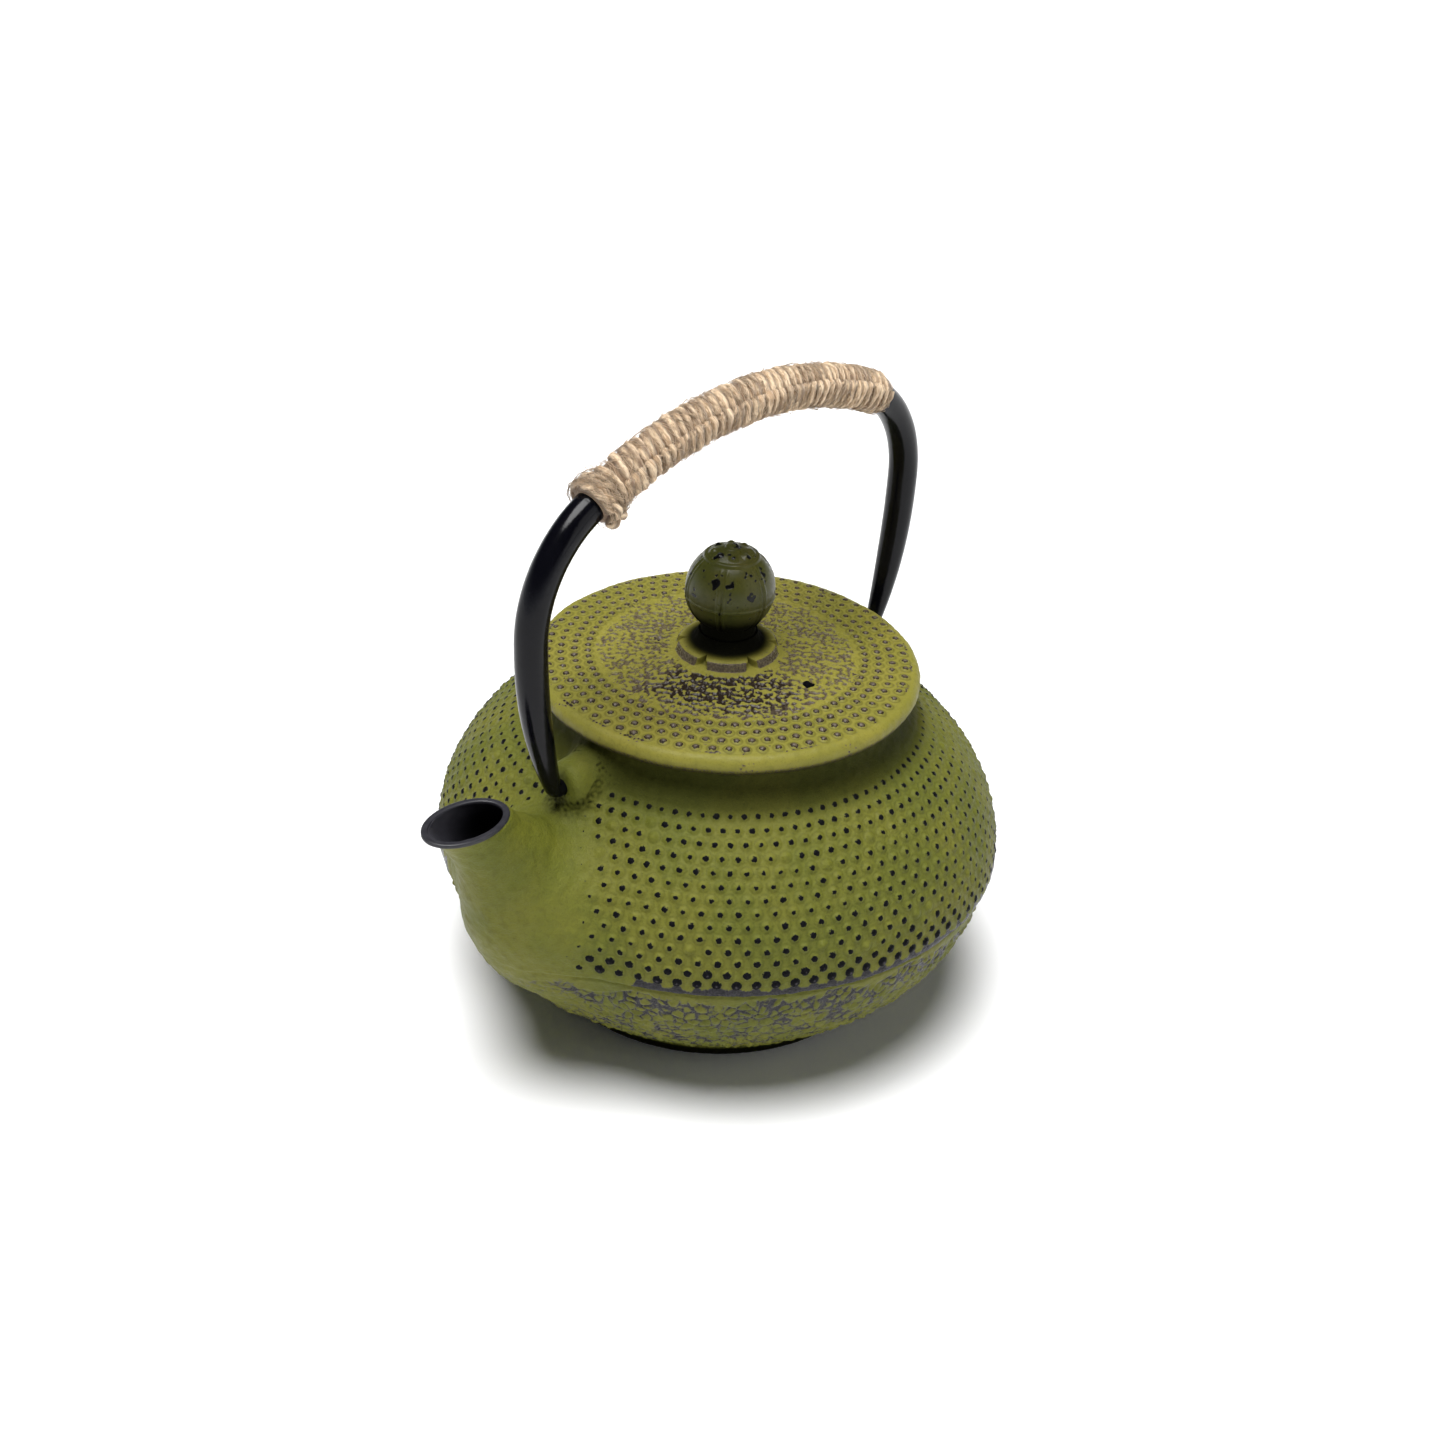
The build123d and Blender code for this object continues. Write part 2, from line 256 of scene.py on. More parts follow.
def ripples(points, grain, seed, spread=0.0, waves=40):
    """A random pattern of one grain size: waves added up in random directions. Spread mixes lengths."""
    rng = np.random.default_rng(seed)
    directions = unit(rng.normal(size=(waves, 3)))
    phases = rng.uniform(0, tau, waves)
    wavelengths = grain * np.exp(spread * rng.normal(size=waves))
    total = np.zeros(len(points))
    for direction, phase, length in zip(directions, phases, wavelengths):
        total += np.cos(points @ (direction * tau / length) + phase)
    return total * sqrt(2 / waves)


def crack_distance(points, grain, seed, where):
    """How far each point is from the cracks between random cells a grain wide; far off elsewhere."""
    inside = points[where]
    for axis in range(3):
        inside[:, axis] += CRACK_WARP * grain * ripples(points[where], 1.8 * grain, seed + axis)
    distance = np.full(len(points), FAR)
    gaps = []
    for cell_place in (inside / grain).tolist():
        nearest = voronoi(cell_place)[0]
        gaps.append(nearest[1] - nearest[0])
    distance[where] = np.array(gaps) * grain / 2
    return distance


def nearest_nub(turn, row, columns, rows, column_pitch, row_pitch, seed):
    """For points on a staggered lattice of nubs: the nearest nub's offset and distance, and its luck."""
    luck_table = np.random.default_rng(seed).random((rows, columns))
    offset = np.full((len(turn), 2), 99.0)
    luck = np.zeros(len(turn))
    for side in (0, 1):
        index = np.clip(np.floor(row) + side, 0, rows - 1).astype(int)
        place = turn * columns - 0.5 * (index % 2)
        column = np.round(place).astype(int)
        candidate = np.stack([(place - column) * column_pitch, (row - index) * row_pitch], axis=1)
        closer = lengths(candidate) < lengths(offset)
        offset[closer] = candidate[closer]
        luck[closer] = luck_table[index, column % columns][closer]
    return np.column_stack([offset, lengths(offset)]), luck


# ======== meshes ========
def add_object(name, data):
    added = bpy.data.objects.new(name, data)
    bpy.context.scene.collection.objects.link(added)
    return added


def new_object(name, points, faces, materials):
    mesh = bpy.data.meshes.new(name)
    corners = faces.tolist() if isinstance(faces, np.ndarray) else faces
    mesh.from_pydata((np.asarray(points) * MM).tolist(), [], corners)
    for material in materials:
        mesh.materials.append(material)
    mesh.shade_smooth()
    return add_object(name, mesh)


def grid_faces(rows, columns, closed=False):
    """The quads of a grid whose columns run all the way round; closed joins its last row to its first."""
    row = np.arange(rows if closed else rows - 1)[:, None]
    column = np.arange(columns)[None, :]
    after = (column + 1) % columns
    above = (row + 1) % rows
    pairs = ((row, column), (row, after), (above, after), (above, column))
    corners = [np.broadcast_to(line * columns + place, (len(row), columns)) for line, place in pairs]
    return np.stack(corners, axis=-1).reshape(-1, 4)


def capped_faces(rows, columns):
    """A tube's quads and the fan of each end, whose centres are the last two points."""
    faces = grid_faces(rows, columns).tolist()
    first_centre = rows * columns
    for column in range(columns):
        after = (column + 1) % columns
        faces.append((first_centre, after, column))
        top = (rows - 1) * columns
        faces.append((first_centre + 1, top + column, top + after))
    return faces


def grid_points(x, y, z):
    """The points of a grid, row by row; a coordinate may be given for the rows or the columns alone."""
    return np.stack(np.broadcast_arrays(x, y, z), axis=-1).reshape(-1, 3)


def lathe_points(profile, columns):
    """A profile of (radius, height) points turned about the pot's axis."""
    angle = round_angles(columns)
    radius, height = np.array(profile).T[..., None]
    return grid_points(radius * np.cos(angle), radius * np.sin(angle), height)


def closed_lathe(profile, columns):
    """Points and faces of a profile that starts and ends on the axis."""
    points = lathe_points(profile[1:-1], columns)
    centres = [(0, 0, profile[0][1]), (0, 0, profile[-1][1])]
    return np.vstack([points, centres]), capped_faces(len(profile) - 2, columns)


def join_shells(shells):
    """Several (points, faces) shells as one."""
    points = np.vstack([shell[0] for shell in shells])
    faces = []
    start = 0
    for shell_points, shell_faces in shells:
        faces += [[corner + start for corner in face] for face in shell_faces]
        start += len(shell_points)
    return points, faces


def ellipse_stack(stations, columns=96):
    """A tube through level ellipses of (height, reach, half length, half width), closed at both ends."""
    angle = round_angles(columns)
    height, reach, length, width = (stations[:, i : i + 1] for i in range(4))
    points = grid_points(reach + length * np.cos(angle), width * np.sin(angle), height)
    centres = [(stations[i, 1], 0, stations[i, 0]) for i in (0, -1)]
    return np.vstack([points, centres]), capped_faces(len(stations), columns)


def cross_rod(radius, first_x, last_x, columns=48):
    """A rod along X at the hinge's height."""
    angle = round_angles(columns)
    x = np.array([[first_x], [last_x]])
    points = grid_points(x, radius * np.cos(angle), HINGE_HEIGHT + radius * np.sin(angle))
    return np.vstack([points, grid_points(x, 0, HINGE_HEIGHT)]), capped_faces(2, columns)


def arc_profile(half_width, half_height, first_angle, last_angle, count):
    """Points of an ellipse round the waist, by its own angle."""
    angle = np.linspace(first_angle, last_angle, count)
    return list(zip(half_width * np.cos(angle), WAIST + half_height * np.sin(angle)))


def apply_modifiers(piece):
    """Bakes a piece's modifiers into its mesh."""
    evaluated = piece.evaluated_get(bpy.context.evaluated_depsgraph_get())
    mesh = bpy.data.meshes.new_from_object(evaluated)
    piece.modifiers.clear()
    piece.data = mesh


def read_vectors(items, name):
    """One vector of each vertex or face, in millimetres."""
    values = np.empty(len(items) * 3)
    items.foreach_get(name, values)
    return values.reshape(-1, 3) / MM


def get_points(piece):
    return read_vectors(piece.data.vertices, "co")


def set_points(piece, points):
    piece.data.vertices.foreach_set("co", (points * MM).ravel())
    piece.data.update()


def set_attribute(piece, name, values):
    kind, field = ("FLOAT", "value") if values.ndim == 1 else ("FLOAT_VECTOR", "vector")
    stored = piece.data.attributes.new(name, kind, "POINT")
    stored.data.foreach_set(field, values.astype(np.float32).ravel())


def set_finish(piece, *finish):
    """What the worn green finish reads at each point, painted shade included."""
    for name, values in zip(("spot", "reach", "bare", "painted_shade"), finish):
        set_attribute(piece, name, values)


def cut(piece, shell, material_index):
    """Takes a closed shell out of a piece; the cut faces get the material at that index."""
    tool = new_object("cutter", *shell, piece.data.materials)
    tool.data.polygons.foreach_set("material_index", [material_index] * len(tool.data.polygons))
    modifier = piece.modifiers.new("cut", "BOOLEAN")
    modifier.operation = "DIFFERENCE"
    modifier.solver = "MANIFOLD"
    modifier.object = tool
    apply_modifiers(piece)
    bpy.data.objects.remove(tool)


# ======== materials ========
def wire(kind, *inputs, **settings):
    """Adds a node that links from outputs, in their tree. Other inputs are values, or None for as it is."""
    tree = next(value.id_data for value in inputs if isinstance(value, bpy.types.NodeSocket))
    node = tree.nodes.new("ShaderNode" + kind)
    for name, value in settings.items():
        setattr(node, name, value)
    for socket, value in zip(node.inputs, inputs):
        if isinstance(value, bpy.types.NodeSocket):
            tree.links.new(value, socket)
        elif value is not None:
            socket.default_value = value
    return node.outputs[0]


def arith(operation, a, b):
    return wire("Math", a, b, operation=operation)


def mix(share, a, b):
    """Mixes two colours, each an output or its (red, green, blue)."""
    colours = ((*tone, 1) if isinstance(tone, tuple) else tone for tone in (a, b))
    return wire("MixRGB", share, *colours)


def ramp(value, low, high, start=0.0, end=1.0):
    """Maps low..high smoothly to start..end."""
    return wire("MapRange", value, low, high, start, end, interpolation_type="SMOOTHSTEP")


def noise(place, scale, detail=2.0, roughness=0.5):
    return wire("TexNoise", place, None, scale, detail, roughness)


def attribute(material, name, output="Fac"):
    node = material.node_tree.nodes.new("ShaderNodeAttribute")
    node.attribute_name = name
    return node.outputs[output]


def new_material(name, **shader_values):
    """A material with values for its shader, and the object's own coordinates in millimetres."""
    material = bpy.data.materials.new(name)
    material.use_nodes = True
    nodes = material.node_tree.nodes
    for key, value in shader_values.items():
        nodes["Principled BSDF"].inputs[key.replace("_", " ")].default_value = value
    coordinates = nodes.new("ShaderNodeTexCoord").outputs["Object"]
    return material, wire("VectorMath", coordinates, None, None, 1 / MM, operation="SCALE")


def dress(material, *layers, **sources):
    """Links sources to the shader's inputs, and adds up (height, millimetres) layers as its bump."""
    normal = None
    for height, depth in layers:
        normal = wire("Bump", 1.0, depth * MM, None, height, normal)
    if layers:
        sources["Normal"] = normal
    tree = material.node_tree
    for key, source in sources.items():
        tree.links.new(source, tree.nodes["Principled BSDF"].inputs[key.replace("_", " ")])
    return material


def worn_green(name, base, pale, deep, iron, pale_iron_and_glint, core, gloss, grain_depth):
    """Green patina over cast iron. The mesh says where it has worn through or never took: spot (offset from
    a nub's tip, and its distance), reach (how wide that nub has worn) and bare (over 0); a fourth value
    marks where shade is painted in, darkening the finish.
    """
    material, place = new_material(name)
    clouds = noise(place, 0.06, 3)
    mottle = noise(place, 0.5, 4)
    speckle = noise(place, 2.2, 3, 0.65)
    green = mix(ramp(clouds, 0.35, 0.65), base, pale)
    green = mix(ramp(mottle, 0.48, 0.75, 0.0, 0.3), green, deep)
    green = mix(ramp(speckle, 0.5, 0.75, 0.0, 0.45), green, deep)

    edge = arith("SUBTRACT", noise(place, 1.9, 3), 0.5)
    offset = wire("SeparateXYZ", attribute(material, "spot", "Vector"))
    flat = wire("CombineXYZ", offset, offset.node.outputs[1], 0.0)
    length = wire("VectorMath", flat, operation="LENGTH").node.outputs["Value"]
    distance = arith("ADD", length, arith("MULTIPLY", edge, 0.9))
    inside = arith("SUBTRACT", attribute(material, "reach"), distance)
    near = arith("LESS_THAN", offset.node.outputs[2], WIDEST_SPOT)
    spot = arith("MULTIPLY", ramp(inside, -0.08, 0.1), near)
    wear = arith("ADD", attribute(material, "bare"), arith("MULTIPLY", edge, 0.5))
    worn = arith("MAXIMUM", spot, ramp(wear, -0.1, 0.12))

    # A spot goes from iron at its rim to pale iron towards the nub's tip: partly the worn iron's lighter
    # tone, partly a painted glint on the tip.
    depth = mix(spot, ramp(wear, 0.08, 0.35), ramp(inside, core + 0.35, core))
    grit = ramp(noise(place, 1.3, 3), 0.35, 0.7, 0.0, 0.5)
    metal = mix(arith("MAXIMUM", depth, grit), pale_iron_and_glint, iron)
    # Painted shade: where the mesh marks shade, the colour goes to near black, matt and with little
    # specular.
    painted_shade = attribute(material, "painted_shade")
    satin = ramp(mottle, 0.3, 0.7, gloss, gloss + 0.12)
    satin = mix(worn, satin, IRON_ROUGHNESS)
    hollow = arith("MULTIPLY", arith("MULTIPLY", spot, depth), 0.8)
    matt = arith("MAXIMUM", painted_shade, hollow)
    return dress(
        material,
        (mottle, 0.9 * grain_depth),
        (speckle, 0.6 * grain_depth),
        (worn, -0.06),
        Base_Color=mix(painted_shade, mix(worn, green, metal), PAINTED_SHADE_COLOUR),
        Roughness=mix(painted_shade, satin, PAINTED_SHADE_ROUGHNESS),
        Specular_IOR_Level=ramp(matt, 0.0, 1.0, 0.2, 0.02),
    )


def two_tone(name, pattern, dark, light, smooth, rough, depth, **shader_values):
    """A material whose pattern, from (scale, detail) noise, mixes two colours and two roughnesses."""
    material, place = new_material(name, **shader_values)
    tone = noise(place, *pattern)
    colour = mix(tone, dark, light)
    return dress(material, (tone, depth), Base_Color=colour, Roughness=ramp(tone, 0.3, 0.7, smooth, rough))


def black_enamel():
    dark, light = (0.012, 0.012, 0.015), (0.024, 0.023, 0.029)
    return two_tone("black_enamel", (0.7, 2), dark, light, 0.38, 0.5, 0.05, Specular_IOR_Level=0.4)


def grey_silicone():
    dark, light = (0.30, 0.30, 0.30), (0.42, 0.42, 0.41)
    return two_tone("grey_silicone", (1.2, 3), dark, light, 0.5, 0.65, 0.03, Subsurface_Weight=0.05)


def black_lacquer():
    material, place = new_material("black_lacquer", Specular_IOR_Level=0.17)
    haze = noise(place, 0.08, 4)
    grain = noise(place, 2.2, 3)
    scuff = ramp(noise(place, 0.5, 4, 0.7), 0.68, 0.78)
    dark = mix(haze, (0.001, 0.001, 0.002), (0.003, 0.003, 0.005))
    colour = mix(scuff, dark, (0.03, 0.03, 0.035))
    gloss = ramp(haze, 0.3, 0.7, 0.15, 0.22)
    return dress(material, (grain, 0.012), (haze, 0.2), Base_Color=colour, Roughness=gloss)


def jute_fibre():
    """Streaks along each strand, with painted shade: its attribute holds the place along and round the
    strand, and its depth.
    """
    shader_values = {"Sheen_Weight": 0.25, "Sheen_Roughness": 0.5, "Roughness": 0.85}
    material, place = new_material("jute_fibre", **shader_values)
    strand_place = wire("SeparateXYZ", attribute(material, "strand", "Vector"))
    along = arith("MULTIPLY", strand_place, 0.22)
    around = arith("MULTIPLY", strand_place.node.outputs[1], 0.6)
    streak = noise(wire("CombineXYZ", along, around, 0.0), 1.4, 6, 0.8)
    tuft = ramp(noise(place, 0.32, 3), 0.35, 0.7, 0.0, 0.4)
    fleck = noise(place, 1.5, 4, 0.8)
    # Painted shade: the fibre darkens to deep brown where the strand's depth marks a gap between plies and
    # between turns.
    deep = ramp(strand_place.node.outputs[2], 0.0, 1.0, 0.8, 0.0)
    tan = mix(ramp(streak, 0.42, 0.58), (0.42, 0.26, 0.14), (1.0, 0.79, 0.54))
    tan = mix(ramp(fleck, 0.56, 0.68, 0.0, 0.6), tan, (0.34, 0.20, 0.105))
    tan = mix(tuft, tan, (0.70, 0.47, 0.27))
    tan = mix(deep, tan, (0.13, 0.07, 0.034))
    return dress(material, (streak, 0.5), (fleck, 0.2), Base_Color=tan)


def brushed_steel():
    material, place = new_material("brushed_steel", Metallic=1.0)
    brushed = noise(wire("Mapping", place, None, None, (0.1, 0.1, 3.0)), 1.5, 4)
    colour = mix(brushed, (0.50, 0.50, 0.51), (0.66, 0.66, 0.67))
    return dress(material, (brushed, 0.015), Base_Color=colour, Roughness=ramp(brushed, 0.3, 0.7, 0.2, 0.38))


def white_floor():
    material, place = new_material("white_floor", Roughness=0.9, Specular_IOR_Level=0.1)
    paper = noise(place, 0.02, 2)
    return dress(material, Base_Color=mix(paper, (0.90, 0.90, 0.905), (0.92, 0.92, 0.925)))


enamel = black_enamel()
lacquer = black_lacquer()
jute = jute_fibre()
steel = brushed_steel()
pot_green = worn_green(
    "pot_green",
    base=(0.112, 0.121, 0.013),
    pale=(0.138, 0.138, 0.016),
    deep=(0.058, 0.065, 0.010),
    iron=(0.004, 0.004, 0.005),
    pale_iron_and_glint=(0.036, 0.032, 0.038),
    core=0.85,
    gloss=0.50,
    grain_depth=0.40,
)
lid_green = worn_green(
    "lid_green",
    base=(0.190, 0.176, 0.026),
    pale=(0.215, 0.193, 0.030),
    deep=(0.104, 0.098, 0.015),
    iron=(0.020, 0.014, 0.009),
    pale_iron_and_glint=(0.105, 0.082, 0.055),
    core=0.15,
    gloss=0.48,
    grain_depth=0.14,
)
knob_green = worn_green(
    "knob_green",
    base=(0.044, 0.048, 0.008),
    pale=(0.056, 0.053, 0.012),
    deep=(0.022, 0.025, 0.005),
    iron=(0.002, 0.002, 0.002),
    pale_iron_and_glint=(0.006, 0.006, 0.006),
    core=0.45,
    gloss=0.27,
    grain_depth=0.04,
)


# ======== pot ========
def belly_distance(p):
    """The two half ellipses, joined by the small step at the waist."""
    x, y, height = p.T
    radius = np.hypot(x, y)
    rise = height - WAIST
    share = ease(STEP - STEP_HALF_HEIGHT, STEP + STEP_HALF_HEIGHT, rise)
    wide = LOWER_RADIUS + (BELLY_RADIUS - LOWER_RADIUS) * share
    tall = np.where(rise > 0, SHOULDER_RISE, LOWER_DROP)
    level = np.hypot(radius / wide, rise / tall)
    slope = np.hypot(radius / wide**2, rise / tall**2)
    return (level - 1) * level / slope


def spout_ellipse(height):
    """The spout's distance from the axis, half length and half width at a height."""
    return [spline(SPOUT[:, 0], column, height) for column in SPOUT.T[1:]]


def spout_level(p):
    """0 on the spout's wall, -1 along its middle."""
    reach, length, width = spout_ellipse(np.clip(p[:, 2], SPOUT[0, 0], LIP_HEIGHT))
    return np.hypot((p[:, 0] - reach) / length, p[:, 1] / width) - 1


def spout_distance(p):
    wall = spout_level(p) / np.maximum(lengths(gradient(spout_level, p)), 0.01)
    wall = smooth_max(wall, SPOUT[0, 0] - 2 - p[:, 2], 2.0)
    return smooth_max(wall, p[:, 2] - LIP_HEIGHT + 0.3, 0.9)


def lug_distance(p):
    x, y, height = p.T
    rod = np.hypot(y, height - HINGE_HEIGHT) - LUG_RADIUS
    return smooth_max(rod, np.abs(x) - LUG_REACH, 3.0)


def pot_distance(p):
    """The outside of the whole casting."""
    x, y, height = p.T
    radius = np.hypot(x, y)
    body = smooth_min(belly_distance(p), radius - NECK_RADIUS, 6.0)
    body = smooth_max(body, height - NECK_TOP, 0.8)
    body = smooth_min(body, np.maximum(radius - FOOT_RADIUS, height - 6.0), 2.5)
    body = smooth_max(body, -height, 0.8)
    body = smooth_max(body, -np.maximum(radius - FOOT_INNER, height - FOOT_RECESS), 0.8)
    body = smooth_min(body, lug_distance(p), 6.0)
    blend = 3.0 + 12.0 * ease(22.0, 52.0, height) * ease(76.0, 60.0, height)
    return smooth_min(body, spout_distance(p), blend)


def pot_finish(p):
    """What the pot's outside carries at each point: relief, nub offsets, their wear, bare iron, painted
    shade.
    """
    x, y, height = p.T
    radius = np.hypot(x, y)
    turn = np.arctan2(y, x) / tau
    angle = np.arctan2((height - WAIST) / SHOULDER_RISE, radius / BELLY_RADIUS)
    row = (angle - FIRST_ROW) / ROW_STEP
    row_pitch = ROW_STEP * np.hypot(BELLY_RADIUS * np.sin(angle), SHOULDER_RISE * np.cos(angle))
    column_pitch = tau * BELLY_RADIUS * np.cos(angle) / NUB_COLUMNS
    shifted = turn - NUB_SHIFT / NUB_COLUMNS
    spot, luck = nearest_nub(shifted, row, NUB_COLUMNS, NUB_ROWS, column_pitch, row_pitch, 11)
    across, _, distance = spot.T
    from_spout = spout_distance(p)
    from_lug = lug_distance(p)
    patches = 0.5 + 0.5 * ripples(p, 38.0, 12)
    plain = 1.5 * (patches - 0.5) - 16.0 * ease(-4.0, -14.0, y) * ease(56.0, 48.0, height)
    clear = ease(1.5, 8.0, from_spout + plain) * ease(1.0, 4.5, from_lug)
    clear *= ease(STEP - 0.2, STEP + 0.6, height - WAIST)
    worn_side = bell(turn - 0.36, 0.13)
    studded = ease(-0.8, -0.3, row) * ease(NUB_ROWS - 0.2, NUB_ROWS - 0.7, row)
    nubs = (NUB_HEIGHT + NUB_SINK) * bell(distance, NUB_RADIUS) * clear
    nubs *= 1 - 0.5 * worn_side - 0.4 * bell(turn + 0.15, 0.07)
    nubs -= NUB_SINK * clear * studded

    low_row = ease(2.6, 0.0, row)
    reach = 0.68 + 0.26 * (luck - 0.5) + 0.14 * (patches - 0.5) + 0.42 * low_row - 0.16 * worn_side
    reach = np.where((luck > 0.03) & (clear > 0.05), reach * ease(0.1, 0.8, clear), -1.0)

    edge = CRACKLE_TOP + 0.8 * ripples(p, 14.0, 14)
    zone = ease(edge + 0.4, edge - 1.6, height) * ease(-2.0, 3.0, from_spout)
    zone *= ease(3.6, 4.6, height)
    crack = crack_distance(p, CRACKLE_GRAIN, 13, (zone > 0) & (belly_distance(p) > -1.5))
    sunk = CRACKLE_DEPTH * zone * ease(0.9, 0.0, crack)
    top_stain = bell(height - edge + 3.0, 5.0) * (1 - 0.6 * worn_side)
    stain = 0.16 + 0.05 * ripples(p, 7.0, 18) + (0.09 + 0.06 * ripples(p, 2.2, 19)) * top_stain
    crackle = np.clip(stain, 0.0, 0.5) * zone - crack

    above = height - WAIST - STEP
    away = ease(0.060, 0.078, np.abs(turn))
    teeth = 1.4 * bell(across, 1.5) * (row < 0.4)
    band_width = away * (1.75 + 0.5 * ripples(p, 45.0, 15) + 0.25 * ripples(p, 6.0, 10)) + teeth
    band = np.minimum(band_width - above, 3 * (above + 0.6)) - 2.5 * (1 - away)
    groove = 0.35 * bell(above + 0.7, 0.7) * ease(0.5, 4.0, from_spout)

    cast = 0.04 * ripples(p, 3.2, 16) + 0.06 * ripples(p, 9.0, 17)
    relief = nubs - sunk - groove + cast * ease(3.0, 5.0, height)
    bare = np.maximum(0.9 * crackle, np.minimum(0.5 * band, 0.24))
    # Painted shade: the lid's shadow on the shoulder, a dark ring round each nub's foot, the foot darkened
    # to sink into the shadow beneath, and shade under the lugs and in the crevice round their roots.
    lid_shadow = 0.66 * ease(55.0, 46.0, radius) * ease(70.0, 76.0, height)
    nub_foot_shade = 0.22 * bell(distance - 1.5, 0.45) * clear * studded
    foot_shade = 0.97 * ease(4.4, 2.6, height)
    lug_underside_shade = ease(1.2, 0.2, from_lug) * ease(HINGE_HEIGHT - 1.0, HINGE_HEIGHT - 4.5, height)
    lug_underside_shade *= 0.7 + 0.25 * ripples(p, 1.0, 8)
    lug_root_shade = ease(4.0, 0.5, from_lug) * ease(-0.5, 1.5, from_spout) * (from_lug > 0.3)
    lug_root_shade *= 0.5 + 0.2 * ripples(p, 1.2, 9)
    painted_shade = np.maximum.reduce([lid_shadow, nub_foot_shade, foot_shade, lug_underside_shade, lug_root_shade])
    return relief, spot, reach, bare, np.clip(painted_shade, 0.0, 1.0)


def rough_pot():
    """A plain solid close to the casting, to be remeshed and drawn onto its true surface."""
    foot_angle = -acos(FOOT_RADIUS / LOWER_RADIUS)
    neck_angle = acos(NECK_RADIUS / BELLY_RADIUS)
    belly = [(0, 0), (FOOT_RADIUS, 0)]
    belly += arc_profile(LOWER_RADIUS, LOWER_DROP, foot_angle, 0, 24)
    belly += arc_profile(BELLY_RADIUS, SHOULDER_RISE, 0.01, neck_angle, 24)
    belly += [(NECK_RADIUS, NECK_TOP), (0, NECK_TOP)]
    heights = np.linspace(SPOUT[0, 0], LIP_HEIGHT, 30)
    spout = ellipse_stack(np.column_stack([heights, *spout_ellipse(heights)]))
    lugs = [cross_rod(LUG_RADIUS, -LUG_REACH, -20.0), cross_rod(LUG_RADIUS, 20.0, LUG_REACH)]
    return join_shells([closed_lathe(belly, 192), spout, *lugs])


def cavity():
    floor_angle = -asin((WAIST - FLOOR_HEIGHT) / CAVITY_DROP)
    mouth_angle = acos(MOUTH_RADIUS / CAVITY_RADIUS)
    profile = [(0, FLOOR_HEIGHT)]
    profile += arc_profile(CAVITY_RADIUS, CAVITY_DROP, floor_angle, -0.03, 30)
    profile += arc_profile(CAVITY_RADIUS, CAVITY_RISE, 0, mouth_angle, 30)
    seat = NECK_TOP - SEAT_DEPTH
    profile += [(MOUTH_RADIUS, seat), (SEAT_RADIUS, seat), (SEAT_RADIUS, NECK_TOP + 1), (0, NECK_TOP + 1)]
    return closed_lathe(profile, 256)


def spout_bore():
    heights = np.linspace(SPOUT[0, 0], LIP_HEIGHT, 40)
    share = np.interp(heights, SPOUT[:, 0], np.linspace(0, 1, len(SPOUT)))
    inset = SPOUT_WALL + (LIP_WALL - SPOUT_WALL) * share
    reach, length, width = spout_ellipse(heights)
    stations = np.column_stack([heights, reach, length - inset, width - inset])
    above = stations[-1] + (1.0, 0, 0, 0)
    return ellipse_stack(np.vstack([stations, above]), 160)


def settle(piece, voxel, steps):
    """Remeshes a piece evenly and draws its points onto the casting's true surface."""
    remesh = piece.modifiers.new("remesh", "REMESH")
    remesh.mode = "VOXEL"
    remesh.voxel_size = voxel * MM
    apply_modifiers(piece)
    points = get_points(piece)
    for _ in range(steps):
        slope = gradient(pot_distance, points)
        steepness = np.maximum(lengths(slope), 0.3)
        move = np.clip(pot_distance(points) / steepness, -1.5, 1.5)
        points -= slope * (move / steepness)[:, None]
    set_points(piece, points)


def make_pot():
    pot = new_object("pot_casting", *rough_pot(), [pot_green, enamel])
    settle(pot, COARSE_VOXEL, 8)
    settle(pot, VOXEL, 3)
    points = get_points(pot)
    relief = pot_finish(points)[0]
    set_points(pot, points + unit(gradient(pot_distance, points)) * relief[:, None])

    cut(pot, cavity(), 1)
    cut(pot, spout_bore(), 1)
    holes = [cross_rod(HOLE_RADIUS, -LUG_REACH - 2, HINGE_DEPTH - LUG_REACH),
             cross_rod(HOLE_RADIUS, LUG_REACH - HINGE_DEPTH, LUG_REACH + 2)]
    cut(pot, join_shells(holes), 1)

    mesh = pot.data
    mesh.shade_smooth()
    mesh.set_sharp_from_angle(angle=SMOOTH_ANGLE)
    set_finish(pot, *pot_finish(get_points(pot))[1:])
    x, y, z = read_vectors(mesh.polygons, "center").T
    index = np.empty(len(mesh.polygons), dtype=np.int32)
    mesh.polygons.foreach_get("material_index", index)
    on_lip = (z > LIP_HEIGHT - LIP_ENAMEL) & (x > LUG_REACH)
    on_rim = (z > NECK_TOP - 0.5) & (np.hypot(x, y) < NECK_RADIUS - 0.6)
    index[on_lip | on_rim] = 1
    mesh.polygons.foreach_set("material_index", index)
    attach(pot, "pot")
    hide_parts("pot_body")


def make_lip():
    """The enamelled ring that closes the spout's lip: its thin edge has a finer mesh than the casting."""
    _, reach, length, width = SPOUT[-1]
    inward, upward = np.array(rounded_square(32, 0.6))[..., None]
    inset = LIP_WALL / 2 * (1 - inward) + 0.03
    height = LIP_HEIGHT - LIP_RING / 2 * (1 - upward)
    angle = round_angles(LIP_COLUMNS)
    points = grid_points(reach + (length - inset) * np.cos(angle), (width - inset) * np.sin(angle), height)
    lip = new_object("spout_lip", points, grid_faces(len(inward), LIP_COLUMNS, True), [enamel])
    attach(lip, "pot")
    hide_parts("pot_body")


